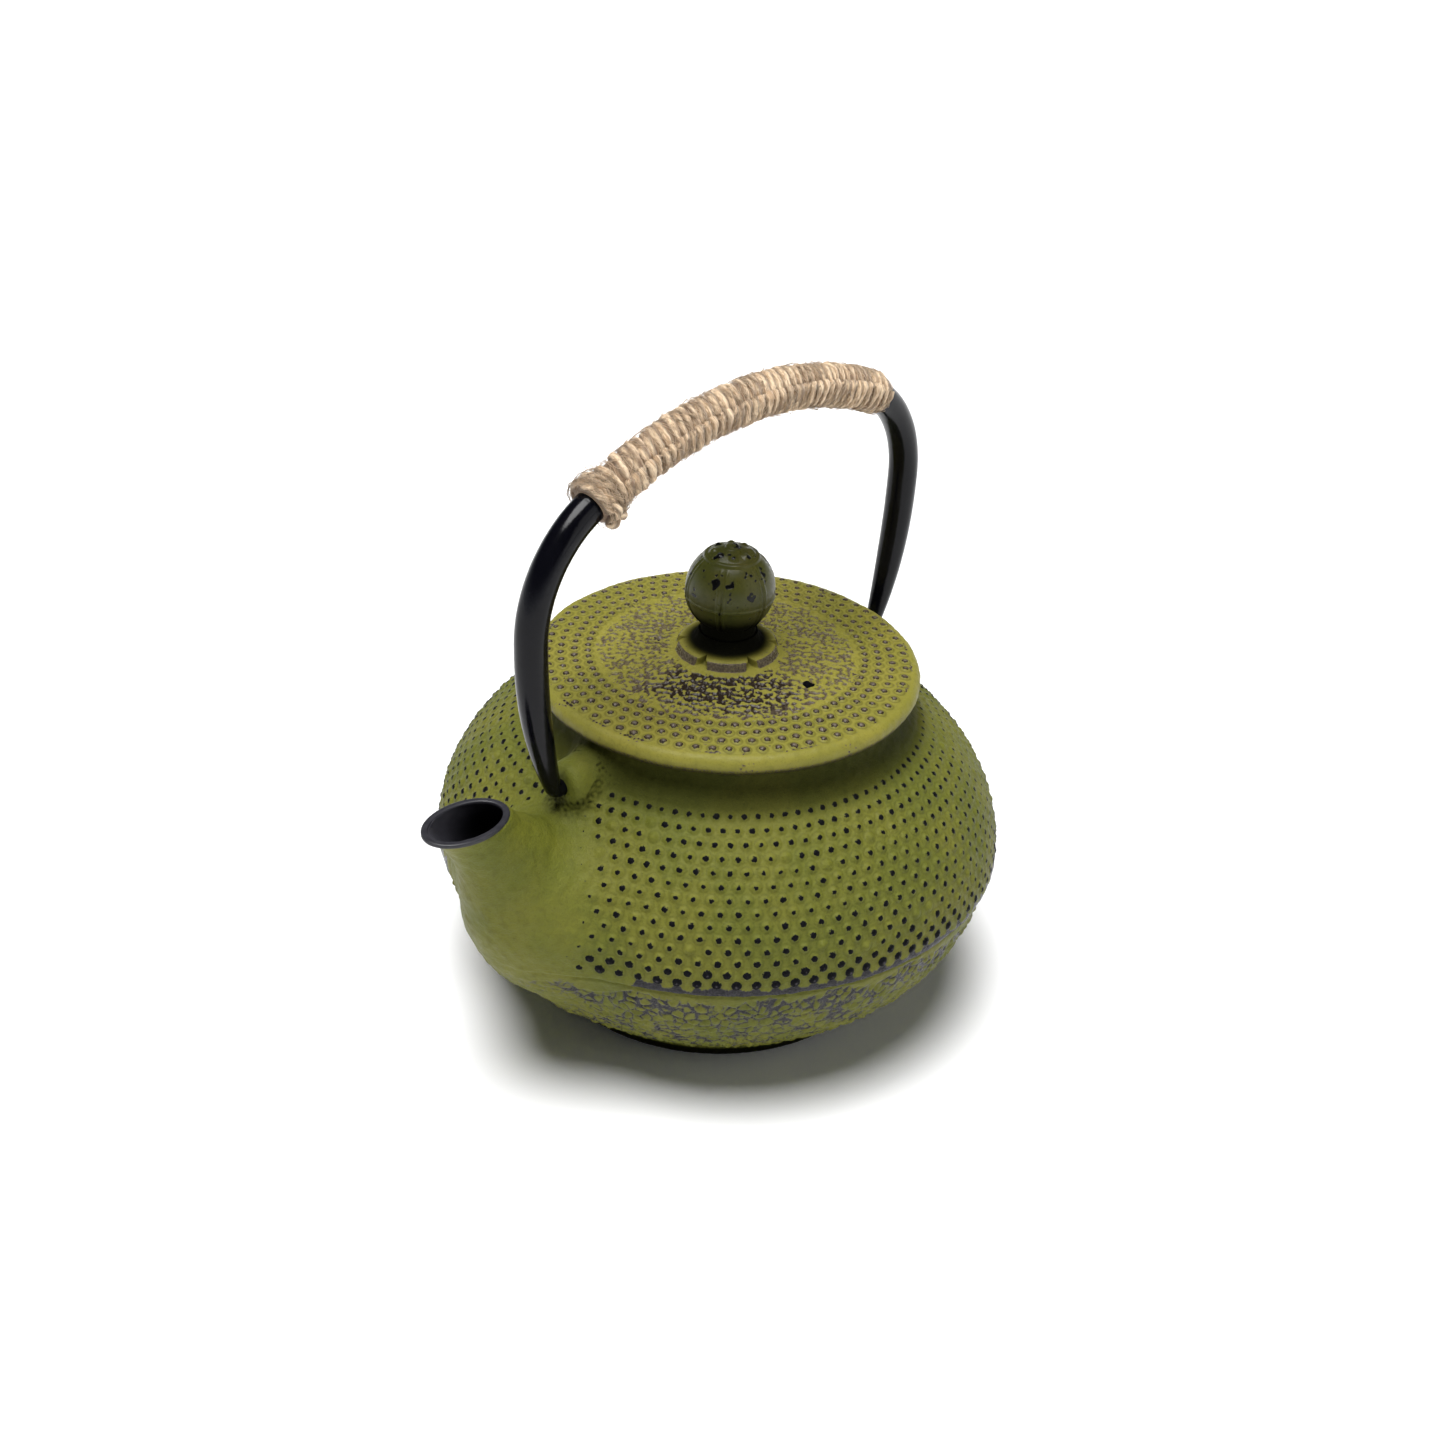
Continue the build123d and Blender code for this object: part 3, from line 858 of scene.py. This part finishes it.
# ======== lid ========
def line_points(*corners, spacing):
    """A polyline cut into short steps, without its last corner."""
    points = []
    for start, end in zip(corners, corners[1:]):
        count = max(1, round(np.hypot(*np.subtract(end, start)) / spacing))
        share = np.arange(count)[:, None] / count
        points += (np.array(start) + share * np.subtract(end, start)).tolist()
    return points


def lid_height(radius):
    """The lid's upper face: a low crown that steepens towards the boss."""
    knots = np.array([BOSS_FOOT, 15.0, 24.0, 33.0, 42.0, 44.6, LID_RADIUS - LID_RIM / 2 + 0.2])
    rises = np.array([LID_RISE, 2.9, 2.15, 1.55, 0.95, 0.7, RIM_BEAD])
    return LID_TOP + spline(knots, rises, radius)


def lid_profile():
    """Round the lid's section: out over the top, round the rim, and back along the underside."""
    boss_top = LID_TOP + LID_RISE + BOSS_RISE
    rim_radius = LID_RIM / 2
    rim_height = LID_RIM + RIM_BEAD
    top = line_points((SCREW_HOLE, boss_top), (BOSS_TOP, boss_top), spacing=0.8)
    chord = np.array([BOSS_TOP - BOSS_FOOT, BOSS_RISE])
    half = np.linalg.norm(chord) / 2
    middle = np.array([BOSS_FOOT, LID_TOP + LID_RISE]) + chord / 2
    outward = np.array([chord[1], -chord[0]]) / (2 * half)
    hub = middle + outward * sqrt(BOSS_FLARE**2 - half**2)
    start = np.arctan2(boss_top - hub[1], BOSS_TOP - hub[0])
    end = np.arctan2(LID_TOP + LID_RISE - hub[1], BOSS_FOOT - hub[0])
    end = end + tau if end < start - pi else end
    top += arc(hub, BOSS_FLARE, np.linspace(start % tau, end % tau, 24)[:-1])
    flat_end = LID_RADIUS - rim_radius
    radii = np.concatenate([np.arange(BOSS_FOOT, 13.4, 0.1), np.arange(13.4, flat_end, 0.26)])
    top += list(zip(radii, lid_height(radii)))
    for angle in np.linspace(pi / 2, -pi / 2, 22):
        top.append((flat_end + rim_radius * cos(angle), LID_BOTTOM + rim_height / 2 * (1 + sin(angle))))
    plate = LID_TOP + LID_RISE - LID_PLATE
    under = line_points(
        (flat_end, LID_BOTTOM),
        (SKIRT_RADIUS, LID_BOTTOM),
        (SKIRT_RADIUS, LID_BOTTOM - SKIRT_DEPTH),
        (SKIRT_INNER, LID_BOTTOM - SKIRT_DEPTH),
        (SKIRT_INNER, plate - 2.0),
        (BOSS_FOOT, plate),
        (SCREW_HOLE, plate),
        (SCREW_HOLE, boss_top),
        spacing=1.3,
    )
    return top + under[1:]


def lid_finish(p):
    """What the lid carries at each point: relief, nub offsets, their wear, bare iron and painted shade."""
    x, y, height = p.T
    radius = np.hypot(x, y)
    angle = np.arctan2(y, x)
    above = (height > LID_BOTTOM + LID_RIM / 2) & (radius > BOSS_TOP - 0.5)
    pitch = (LID_RINGS[-1] - LID_RINGS[0]) / (len(LID_RINGS) - 1)
    row = (radius - LID_RINGS[0]) / pitch
    column_pitch = tau * radius / LID_NUBS
    spot, luck = nearest_nub(angle / tau, row, LID_NUBS, len(LID_RINGS), column_pitch, pitch, 21)
    distance = spot[:, 2]
    nubs = LID_NUB_HEIGHT * bell(distance, LID_NUB_RADIUS)
    facing = np.cos(angle - PETAL_TURN)
    reach = np.where(above, 0.84 + 0.2 * (luck - 0.5) + 0.10 * facing, -1)

    flat = p * (1, 1, 0)
    inner = ease(13.0, 14.8, radius + 0.5 * ripples(flat, 5.0, 23))
    outer = ease(33.2, 31.0, radius + 0.7 * ripples(flat, 6.0, 24))
    zone = inner * outer * above
    front = ease(0.50, 0.98, facing) * ease(34.0, 20.0, radius)
    flecks = 0.85 * ripples(flat, LID_CRACKLE_GRAIN, 22, 0.3) + 0.4 * ripples(flat, 1.0, 25, 0.3)
    limit = 0.05 - 0.50 * front + 0.12 * ripples(flat, 12.0, 20)
    crackle = np.minimum((0.35 + 0.4 * front) * (flecks - limit), 0.09 + 0.6 * front) - 1.5 * (1 - zone)
    sunk = LID_CRACKLE_DEPTH * zone * ease(-0.4, 0.7, flecks)

    petal = (angle - PETAL_TURN) * PETALS / tau
    across = np.abs(petal - np.round(petal)) * tau / PETALS * radius
    lobe = ease(5.2, 4.6, across)
    tab = ease(PETAL_RADIUS + 0.5, PETAL_RADIUS - 0.6, radius) * lobe
    tab *= ease(8.0, 10.4, radius)
    scuffed = bell(radius - PETAL_RADIUS, 1.0) * lobe

    edge_line = bell(radius - LID_RADIUS + LID_RIM / 2 + 0.2, 0.6)
    chipped = 0.5 * ripples(p, 0.9, 26) + 0.5 * ripples(p, 9.0, 27) + 1.2 * edge_line - 1.55
    cast = 0.03 * ripples(p, 2.6, 28) + 0.04 * ripples(p, 11.0, 29)
    relief = (nubs - sunk + PETAL_RISE * tab) * above + cast
    petal_edge = np.minimum(0.9 * (scuffed - 0.5), 0.12) * above
    bare = np.maximum.reduce([crackle, petal_edge, 0.5 * chipped])
    # Painted shade: a dark ring round each nub's foot and a darkened underside of the rim.
    nub_foot_shade = 0.38 * bell(distance - 1.35, 0.42) * above
    rim_underside_shade = 0.85 * ease(LID_BOTTOM + 2.6, LID_BOTTOM + 0.8, height) * (radius > SEAT_RADIUS)
    # Painted shade under the knob: the boss and its surround are darkened.
    painted_shade = np.maximum.reduce([ease(12.0, 8.6, radius), nub_foot_shade, rim_underside_shade])
    return relief, spot, reach, bare, painted_shade


def make_lid():
    profile = lid_profile()
    points = lathe_points(profile, LID_COLUMNS)
    relief = lid_finish(points)[0]
    outline = np.array(profile)
    along = unit(np.roll(outline, -1, axis=0) - np.roll(outline, 1, axis=0))
    upward, outward = np.repeat(along * (1, -1), LID_COLUMNS, axis=0).T
    normal = np.column_stack([unit(points[:, :2]) * outward[:, None], upward])
    faces = grid_faces(len(profile), LID_COLUMNS, True)
    lid = new_object("lid_casting", points + normal * relief[:, None], faces, [lid_green, enamel])
    lid.data.flip_normals()
    low, high = LID_BOTTOM - 4, LID_TOP + 8
    vent, vent_faces = closed_lathe([(0, low), (VENT_RADIUS, low), (VENT_RADIUS, high), (0, high)], 40)
    vent += (VENT_REACH * cos(VENT_ANGLE), VENT_REACH * sin(VENT_ANGLE), 0)
    cut(lid, (vent, vent_faces), 1)
    lid.data.shade_smooth()
    lid.data.set_sharp_from_angle(angle=SMOOTH_ANGLE)
    set_finish(lid, *lid_finish(get_points(lid))[1:])
    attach(lid, "lid")
    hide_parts("lid")


# ======== knob ========
def on_ball(polar, azimuth, radius):
    """Points of a sphere, by the angle from its top and the angle round it."""
    level = np.sin(polar)
    direction = np.stack([level * np.cos(azimuth), level * np.sin(azimuth), np.cos(polar)], axis=-1)
    return direction * np.reshape(radius, (-1, 1))


def knob_finish(polar, azimuth):
    """Relief, bare iron and painted shade on the ball, by the angle from its top and the angle round it."""
    rib = (azimuth - RIB_TURN) * KNOB_RIBS / tau
    radius = BALL_RADIUS * np.sin(polar)
    off_rib = (rib - np.round(rib)) * tau / KNOB_RIBS * radius
    on_side = ease(0.66, 0.85, polar) * ease(2.75, 2.55, polar)
    edges = bell(off_rib - 0.75, 0.55) + bell(off_rib + 0.75, 0.55)
    ribs = (0.30 * edges - 0.25 * bell(off_rib, 0.5)) * (0.5 + 0.5 * ease(1.1, 1.6, polar))
    girdle = 0.2 * bell((polar - radians(98)) * BALL_RADIUS, 0.4)
    crown = polar < 1.2
    ring = 0.3 * bell(radius - 6.4, 0.7) * crown
    petal = azimuth * CROWN_PETALS / tau
    off_petal = (petal - np.round(petal)) * tau / CROWN_PETALS * radius
    petals = 0.5 * bell(radius - 4.5, 1.4) * bell(off_petal, 1.5) * crown
    button = 0.55 * ease(1.9, 1.3, radius) * crown
    relief = ribs * on_side + girdle + ring + petals + button
    place = on_ball(polar, azimuth, BALL_RADIUS)
    patches = ripples(place, 4.0, 31) + 0.7 * ripples(place, 1.4, 32)
    crest = 2.6 * bell(radius - 4.6, 1.3) * bell(off_petal, 1.5) + 1.8 * bell(radius - 1.4, 1.0)
    upper = 1.4 * bell(polar - 1.05, 0.45) * bell(np.abs(off_rib) - 1.6, 2.0)
    groove = 1.3 * bell(off_rib, 0.5) * on_side * ease(1.0, 1.7, polar)
    bare = 0.4 * (patches - 2.1 + crest * crown + upper + groove)
    # Painted shade darkens the ball's lower side, below the girdle.
    return relief, bare, ease(1.7, 2.3, polar)


def make_knob():
    stem_angle = pi - asin(STEM_RADIUS / BALL_RADIUS)
    rows = np.linspace(0.02, stem_angle, 220)
    polar = np.repeat(rows, KNOB_COLUMNS)
    azimuth = np.tile(round_angles(KNOB_COLUMNS), len(rows))
    relief, bare, painted_shade = knob_finish(polar, azimuth)
    reach = BALL_RADIUS - 0.05 + relief
    ball = on_ball(polar, azimuth, reach) + (0, 0, BALL_CENTRE)
    boss_top = LID_TOP + LID_RISE + BOSS_RISE
    stem_top = BALL_CENTRE + BALL_RADIUS * cos(stem_angle) - 0.3
    stem = line_points((STEM_RADIUS, stem_top), (STEM_RADIUS, boss_top), (0.5, boss_top), spacing=0.5)
    ends = [(0, 0, BALL_CENTRE + reach[0]), (0, 0, boss_top)]
    points = np.vstack([ball, lathe_points(stem, KNOB_COLUMNS), ends])
    faces = capped_faces(len(rows) + len(stem), KNOB_COLUMNS)
    knob = new_object("knob_casting", points, faces, [knob_green])
    knob.data.flip_normals()
    knob.data.set_sharp_from_angle(angle=radians(55))
    # The stem has no bare iron and is wholly in painted shade.
    rest = np.ones(len(points) - len(bare))
    set_finish(
        knob,
        np.full((len(points), 3), FAR),
        np.full(len(points), -1.0),
        np.concatenate([bare, -rest]),
        np.concatenate([painted_shade, rest]),
    )
    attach(knob, "lid")
    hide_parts("lid_knob")


# ======== bail ========
CROWN_CENTRE = APEX - CROWN_RADIUS


def bail_line():
    """The bail's middle line from the crown down to the front hinge, as (x, z, radius) points."""
    shoulder_x = HALF_WIDTH - SHOULDER_RADIUS
    crown_angle = asin(shoulder_x / (CROWN_RADIUS - SHOULDER_RADIUS))
    shoulder_z = CROWN_CENTRE + (CROWN_RADIUS - SHOULDER_RADIUS) * cos(crown_angle)
    leg_angle = asin((shoulder_z - HINGE_HEIGHT - HOOK_RADIUS) / (LEG_RADIUS - HOOK_RADIUS))
    hook_x = HALF_WIDTH - LEG_RADIUS + (LEG_RADIUS - HOOK_RADIUS) * cos(leg_angle)
    crown = arc((0, CROWN_CENTRE), CROWN_RADIUS, np.linspace(pi / 2, pi / 2 - crown_angle, 60))
    shoulder_angles = np.linspace(pi / 2 - crown_angle, 0, 40)[1:]
    shoulder = arc((shoulder_x, shoulder_z), SHOULDER_RADIUS, shoulder_angles)
    leg_angles = np.linspace(0, -leg_angle, 60)[1:]
    leg = arc((HALF_WIDTH - LEG_RADIUS, shoulder_z), LEG_RADIUS, leg_angles)
    hook_angles = np.linspace(-leg_angle, -pi / 2, 14)[1:]
    hook = arc((hook_x, HINGE_HEIGHT + HOOK_RADIUS), HOOK_RADIUS, hook_angles)
    tip = [(hook_x - reach, HINGE_HEIGHT) for reach in np.linspace(0, TIP_LENGTH, 6)[1:]]
    taper = TUBE_RADIUS + (TIP_RADIUS - TUBE_RADIUS) * (leg_angles / -leg_angle) ** TAPER_POWER
    upper = np.full(len(crown) + len(shoulder), TUBE_RADIUS)
    thin = np.full(len(hook) + len(tip), TIP_RADIUS)
    return np.column_stack([crown + shoulder + leg + hook + tip, np.concatenate([upper, taper, thin])])


def make_bail():
    half = bail_line()
    line = np.vstack([half[::-1], half[1:] * (-1, 1, 1)])
    along = unit(np.gradient(line[:, :2], axis=0))
    inward, sideways = rounded_square(BAIL_COLUMNS, 0.86)
    size = np.maximum(np.hypot(inward, sideways), 1.0)
    radius = line[:, 2:3]
    x = line[:, 0:1] - along[:, 1:2] * radius * inward / size
    z = line[:, 1:2] + along[:, 0:1] * radius * inward / size
    points = grid_points(x, radius * sideways / size, z)
    centres = [(line[0, 0], 0, line[0, 1]), (line[-1, 0], 0, line[-1, 1])]
    faces = capped_faces(len(line), BAIL_COLUMNS)
    bail = new_object("bail_tube", np.vstack([points, centres]), faces, [lacquer])
    bail.data.flip_normals()
    bail.data.set_sharp_from_angle(angle=SMOOTH_ANGLE)
    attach(bail, "bail")
    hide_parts("bail_handle")


# ======== jute ========
def on_crown(along, radius, angle):
    """A point by the bail's crown: how far along the crown, how far off its middle line, and which way."""
    lean = along / CROWN_RADIUS
    reach = CROWN_RADIUS + radius * np.cos(angle)
    sideways = radius * np.sin(angle)
    return np.stack([reach * np.sin(lean), sideways, CROWN_CENTRE + reach * np.cos(lean)], axis=-1)


def strand(path, radius, plies=2, twist=30.0, columns=14):
    """A soft twine along a path: points, faces and the place along, round and into the strand."""
    steps = np.gradient(path, axis=0)
    along = unit(steps)
    travelled = np.cumsum(lengths(steps))
    normal = np.empty_like(path)
    normal[0] = np.cross(along[0], (0.3, 0.5, 0.8))
    for i in range(1, len(path)):
        normal[i] = unit(normal[i - 1] - along[i] * np.dot(normal[i - 1], along[i]))
    normal[0] = unit(normal[0])
    binormal = np.cross(along, normal)
    angle = round_angles(columns)
    travelled = travelled[:, None]
    phase = plies * (angle + tau * travelled / twist)
    crest = np.abs(np.cos(phase / 2))
    lumps = 1 + 0.05 * np.sin(travelled * 1.7) + 0.04 * np.sin(travelled * 4.1 + 1)
    reach = np.reshape(radius, (-1, 1)) * (0.82 + 0.18 * crest) * lumps
    ring = np.cos(angle)[:, None] * normal[:, None] + np.sin(angle)[:, None] * binormal[:, None]
    points = path[:, None] + ring * reach[..., None]
    # The third place value is 1 on a ply's crest and 0 in the groove between plies; the material paints
    # shade into the grooves.
    place = np.stack([np.broadcast_to(travelled, phase.shape), phase, crest], axis=-1)
    points = np.vstack([points.reshape(-1, 3), path[0], path[-1]])
    place = np.vstack([place.reshape(-1, 3), place[0, 0], place[-1, 0]])
    return points, capped_faces(len(path), columns), place


def sleeve(first, last, radius):
    """The twine's hidden under-layer, so that nothing shows black between the turns; it is marked deep, so
    it takes the painted shade.
    """
    columns = 48
    along = np.linspace(first, last, 80)
    points = on_crown(np.repeat(along, columns), radius, np.tile(-round_angles(columns), len(along)))
    points = np.vstack([points, on_crown(along[[0, -1]], 0.0, np.zeros(2))])
    place = np.column_stack([points[:, 0], np.ones(len(points)), np.zeros(len(points))])
    return points, capped_faces(len(along), columns), place


def fibres(count, first, last, low, high, seed):
    """Stray hairs that lie along the winding and lift off it."""
    rng = np.random.default_rng(seed)
    hairs = []
    for _ in range(count):
        steps = np.linspace(0, 1, 7)
        start = rng.uniform(first, last)
        angle = rng.uniform(0, tau) + steps * rng.uniform(0.4, 1.2) * rng.choice((-1, 1))
        drift = start + steps * rng.uniform(-2.4, 2.4) + 0.5 * np.sin(steps * rng.uniform(2, 7))
        lift = low + (high - low) * rng.uniform(0.2, 1.0) * steps ** rng.uniform(0.8, 2.0)
        path = on_crown(np.clip(drift, first, last), lift, angle)
        path[:, 2] = np.minimum(path[:, 2], APEX + GRIP_RADIUS - 0.15)
        points, faces, place = strand(path, FIBRE_RADIUS, 1, 9.0, 3)
        place[:, 2] = 1.0
        place[:, :2] += rng.uniform(0, 50, 2)
        hairs.append((points, faces, place))
    return hairs


def wound_piece(name, node, strands, outer_radius):
    """Joins strands into one piece; what lies deep between the turns is marked as deep, for painted shade
    there.
    """
    points, faces = join_shells([found[:2] for found in strands])
    piece = new_object(name, points, faces, [jute])
    place = np.vstack([found[2] for found in strands])
    off_line = np.hypot(points[:, 1], np.hypot(points[:, 0], points[:, 2] - CROWN_CENTRE) - CROWN_RADIUS)
    place[:, 2] = np.minimum(place[:, 2], ease(outer_radius - 1.25, outer_radius - 0.45, off_line))
    set_attribute(piece, "strand", place)
    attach(piece, "bail")
    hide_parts(node)


def make_grip():
    """The twine's turns round the crown: steep over the top, and hitched together in a ridge on one side."""
    first = CROWN_RADIUS * asin(GRIP_BACK / CROWN_RADIUS) + TWINE_RADIUS
    last = CROWN_RADIUS * asin((GRIP_FRONT - KNOT_WIDTH) / CROWN_RADIUS) + 0.6
    turns = (last - first) / TWINE_PITCH
    wound = np.arange(0, turns, 1 / TURN_STEPS)
    phase = (wound % 1) * tau
    rng = np.random.default_rng(41)
    slack = rng.normal(size=(4, int(turns) * 3 + 6))
    wander, girth, loose, steep = (np.interp(wound * 3, np.arange(slack.shape[1]), row) for row in slack)
    slant = (TWINE_SLANT + 0.4 * steep) * (ease(3.8, tau, phase) - ease(0.0, 3.4, phase))
    ends = ease(0, 1.5, wound) * ease(turns, turns - 1.5, wound)
    along = first + wound * TWINE_PITCH + (slant + 0.22 * wander) * ends
    hitch = 0.50 * bell(phase, 0.6) - 0.20 * bell(phase - tau, 0.5)
    radius = GRIP_RADIUS - TWINE_RADIUS - 0.02 + hitch * ends - 0.13 * np.abs(loose) * ends
    path = on_crown(along, radius, RIDGE_ANGLE + phase)
    strands = [strand(path, TWINE_RADIUS * (1 + 0.10 * girth))]

    ridge_along = np.arange(first + 2.0, last - 2.0, 0.12)
    sway = ridge_along / TWINE_PITCH * tau
    ridge_angle = RIDGE_ANGLE + 0.07 * np.sin(sway) + 0.05 * np.sin(sway * 0.37)
    ridge = on_crown(ridge_along, GRIP_RADIUS - 0.45 + 0.16 * np.cos(sway), ridge_angle)
    strands.append(strand(ridge, RIDGE_RADIUS + 0.12 * np.sin(sway + 1.0), 2, 4.0, 10))
    strands.append(sleeve(first - TWINE_RADIUS + 0.4, last, TUBE_RADIUS + 0.75))
    strands += fibres(1100, first, last, GRIP_RADIUS - 0.35, GRIP_RADIUS + 0.5, 42)
    wound_piece("jute_winding", "jute_grip", strands, GRIP_RADIUS)


def make_knot():
    """Three thicker turns and the knot that hangs on their near side."""
    first = CROWN_RADIUS * asin((GRIP_FRONT - KNOT_WIDTH) / CROWN_RADIUS) + 0.3
    last = CROWN_RADIUS * asin(GRIP_FRONT / CROWN_RADIUS)
    wound = np.arange(0, KNOT_TURNS, 1 / TURN_STEPS)
    phase = (wound % 1) * tau
    spread = (last - first - 2 * KNOT_TWINE) / KNOT_TURNS
    along = first + KNOT_TWINE + wound * spread - 0.9 * np.abs(phase - pi) / pi + 0.45
    radius = KNOT_RADIUS - KNOT_TWINE - 0.45 - 0.25 * bell(phase - 1.0, 0.8)
    coil = on_crown(along, radius, RIDGE_ANGLE + 0.5 + phase)
    t = np.linspace(0, tau, 150)
    lump_along = last - 2.6 + 1.5 * (np.sin(t) + 0.6 * np.sin(2 * t))
    lump_angle = RIDGE_ANGLE + 0.75 + 0.30 * (np.cos(t) - 0.6 * np.cos(2 * t))
    lump = on_crown(lump_along, KNOT_RADIUS - 0.7 + 0.6 * np.sin(3 * t), lump_angle)
    strands = [strand(coil, KNOT_TWINE, 3, 9.0), strand(lump, 1.05, 3, 9.0)]
    strands.append(sleeve(first, last - 0.6, TUBE_RADIUS + 0.8))
    strands += fibres(180, first, last - 0.5, KNOT_RADIUS - 0.5, KNOT_RADIUS + 0.4, 43)
    wound_piece("jute_tie", "jute_knot", strands, KNOT_RADIUS - 0.3)


# ======== the CAD pieces that keep their shape ========
def finish_cad_pieces():
    silicone = grey_silicone()
    finishes = {
        "knob_screw": steel,
        "knob_washer": silicone,
        "infuser_rim": steel,
        "infuser_wall": steel,
        "infuser_base": steel,
    }
    for node, material in finishes.items():
        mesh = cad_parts[node].data
        mesh.materials.clear()
        mesh.materials.append(material)


# ======== studio ========
CAMERA_DISTANCE = 535.4
CAMERA_ELEVATION = radians(29.28)
CAMERA_PLAN = radians(40.26)
CAMERA_TILT = -0.028286
CAMERA_PAN = 0.001447
CAMERA_ROLL = 0.053643
LENS = 54.63
FLOOR_HALF = 4000.0
LIGHT_DISTANCE = 0.9
OVERHEAD_FROM = (0.13, -0.02, 1.0)
OVERHEAD_STRENGTH = 5.3
OVERHEAD_SPREAD = radians(40)
SIDE_FROM = (-0.2, 1.0, 0.55)
SIDE_POWER = 0.9
SIDE_SIZE = 0.5
HORIZON_STRENGTH = 0.9
SKY_STRENGTH = 0.02


def make_camera():
    """The camera looks at the middle of the lid's rim, from the spout's left."""
    right = Vector((-sin(CAMERA_PLAN), cos(CAMERA_PLAN), 0))
    level = cos(CAMERA_ELEVATION)
    back = Vector((level * cos(CAMERA_PLAN), level * sin(CAMERA_PLAN), sin(CAMERA_ELEVATION)))
    up = back.cross(right)
    facing = Matrix((right, up, back)).transposed()
    facing = facing @ Matrix.Rotation(CAMERA_TILT, 3, "X")
    facing = facing @ Matrix.Rotation(CAMERA_PAN, 3, "Y")
    facing = facing @ Matrix.Rotation(CAMERA_ROLL, 3, "Z")
    data = bpy.data.cameras.new("camera")
    data.sensor_width = 36.0
    data.lens = LENS
    data.clip_start = 0.01
    camera = add_object("camera", data)
    target = Vector((0, 0, LID_TOP * MM))
    camera.matrix_world = Matrix.Translation(target + back * CAMERA_DISTANCE * MM) @ facing.to_4x4()
    bpy.context.scene.camera = camera


def add_light(name, kind, direction, energy, **settings):
    """A light that shines on the pot from a direction."""
    data = bpy.data.lights.new(name, kind)
    data.energy = energy
    for key, value in settings.items():
        setattr(data, key, value)
    light = add_object(name, data)
    away = Vector(direction).normalized()
    light.location = away * LIGHT_DISTANCE
    light.rotation_euler = away.to_track_quat("Z", "Y").to_euler()


def make_studio():
    """A white floor under soft light; the sky is bright only by the horizon, where low views see it."""
    corners = [(x * FLOOR_HALF, y * FLOOR_HALF, 0) for x, y in ((-1, -1), (1, -1), (1, 1), (-1, 1))]
    floor = new_object("floor", corners, [(0, 1, 2, 3)], [white_floor()])
    world = bpy.data.worlds.new("studio")
    world.use_nodes = True
    tree = world.node_tree
    background = tree.nodes["Background"]
    background.inputs["Color"].default_value = (0.90, 0.95, 1.0, 1)
    direction = tree.nodes.new("ShaderNodeTexCoord").outputs["Generated"]
    upward = wire("SeparateXYZ", direction).node.outputs["Z"]
    strength = ramp(upward, 0.0, 0.3, HORIZON_STRENGTH, SKY_STRENGTH)
    tree.links.new(strength, background.inputs["Strength"])
    bpy.context.scene.world = world
    add_light("overhead", "SUN", OVERHEAD_FROM, OVERHEAD_STRENGTH, angle=OVERHEAD_SPREAD)
    add_light("side", "AREA", SIDE_FROM, SIDE_POWER, size=SIDE_SIZE)
    bpy.context.scene.view_settings.view_transform = "Standard"


make_camera()
make_pot()
make_lip()
make_lid()
make_knob()
make_bail()
make_grip()
make_knot()
finish_cad_pieces()
make_studio()
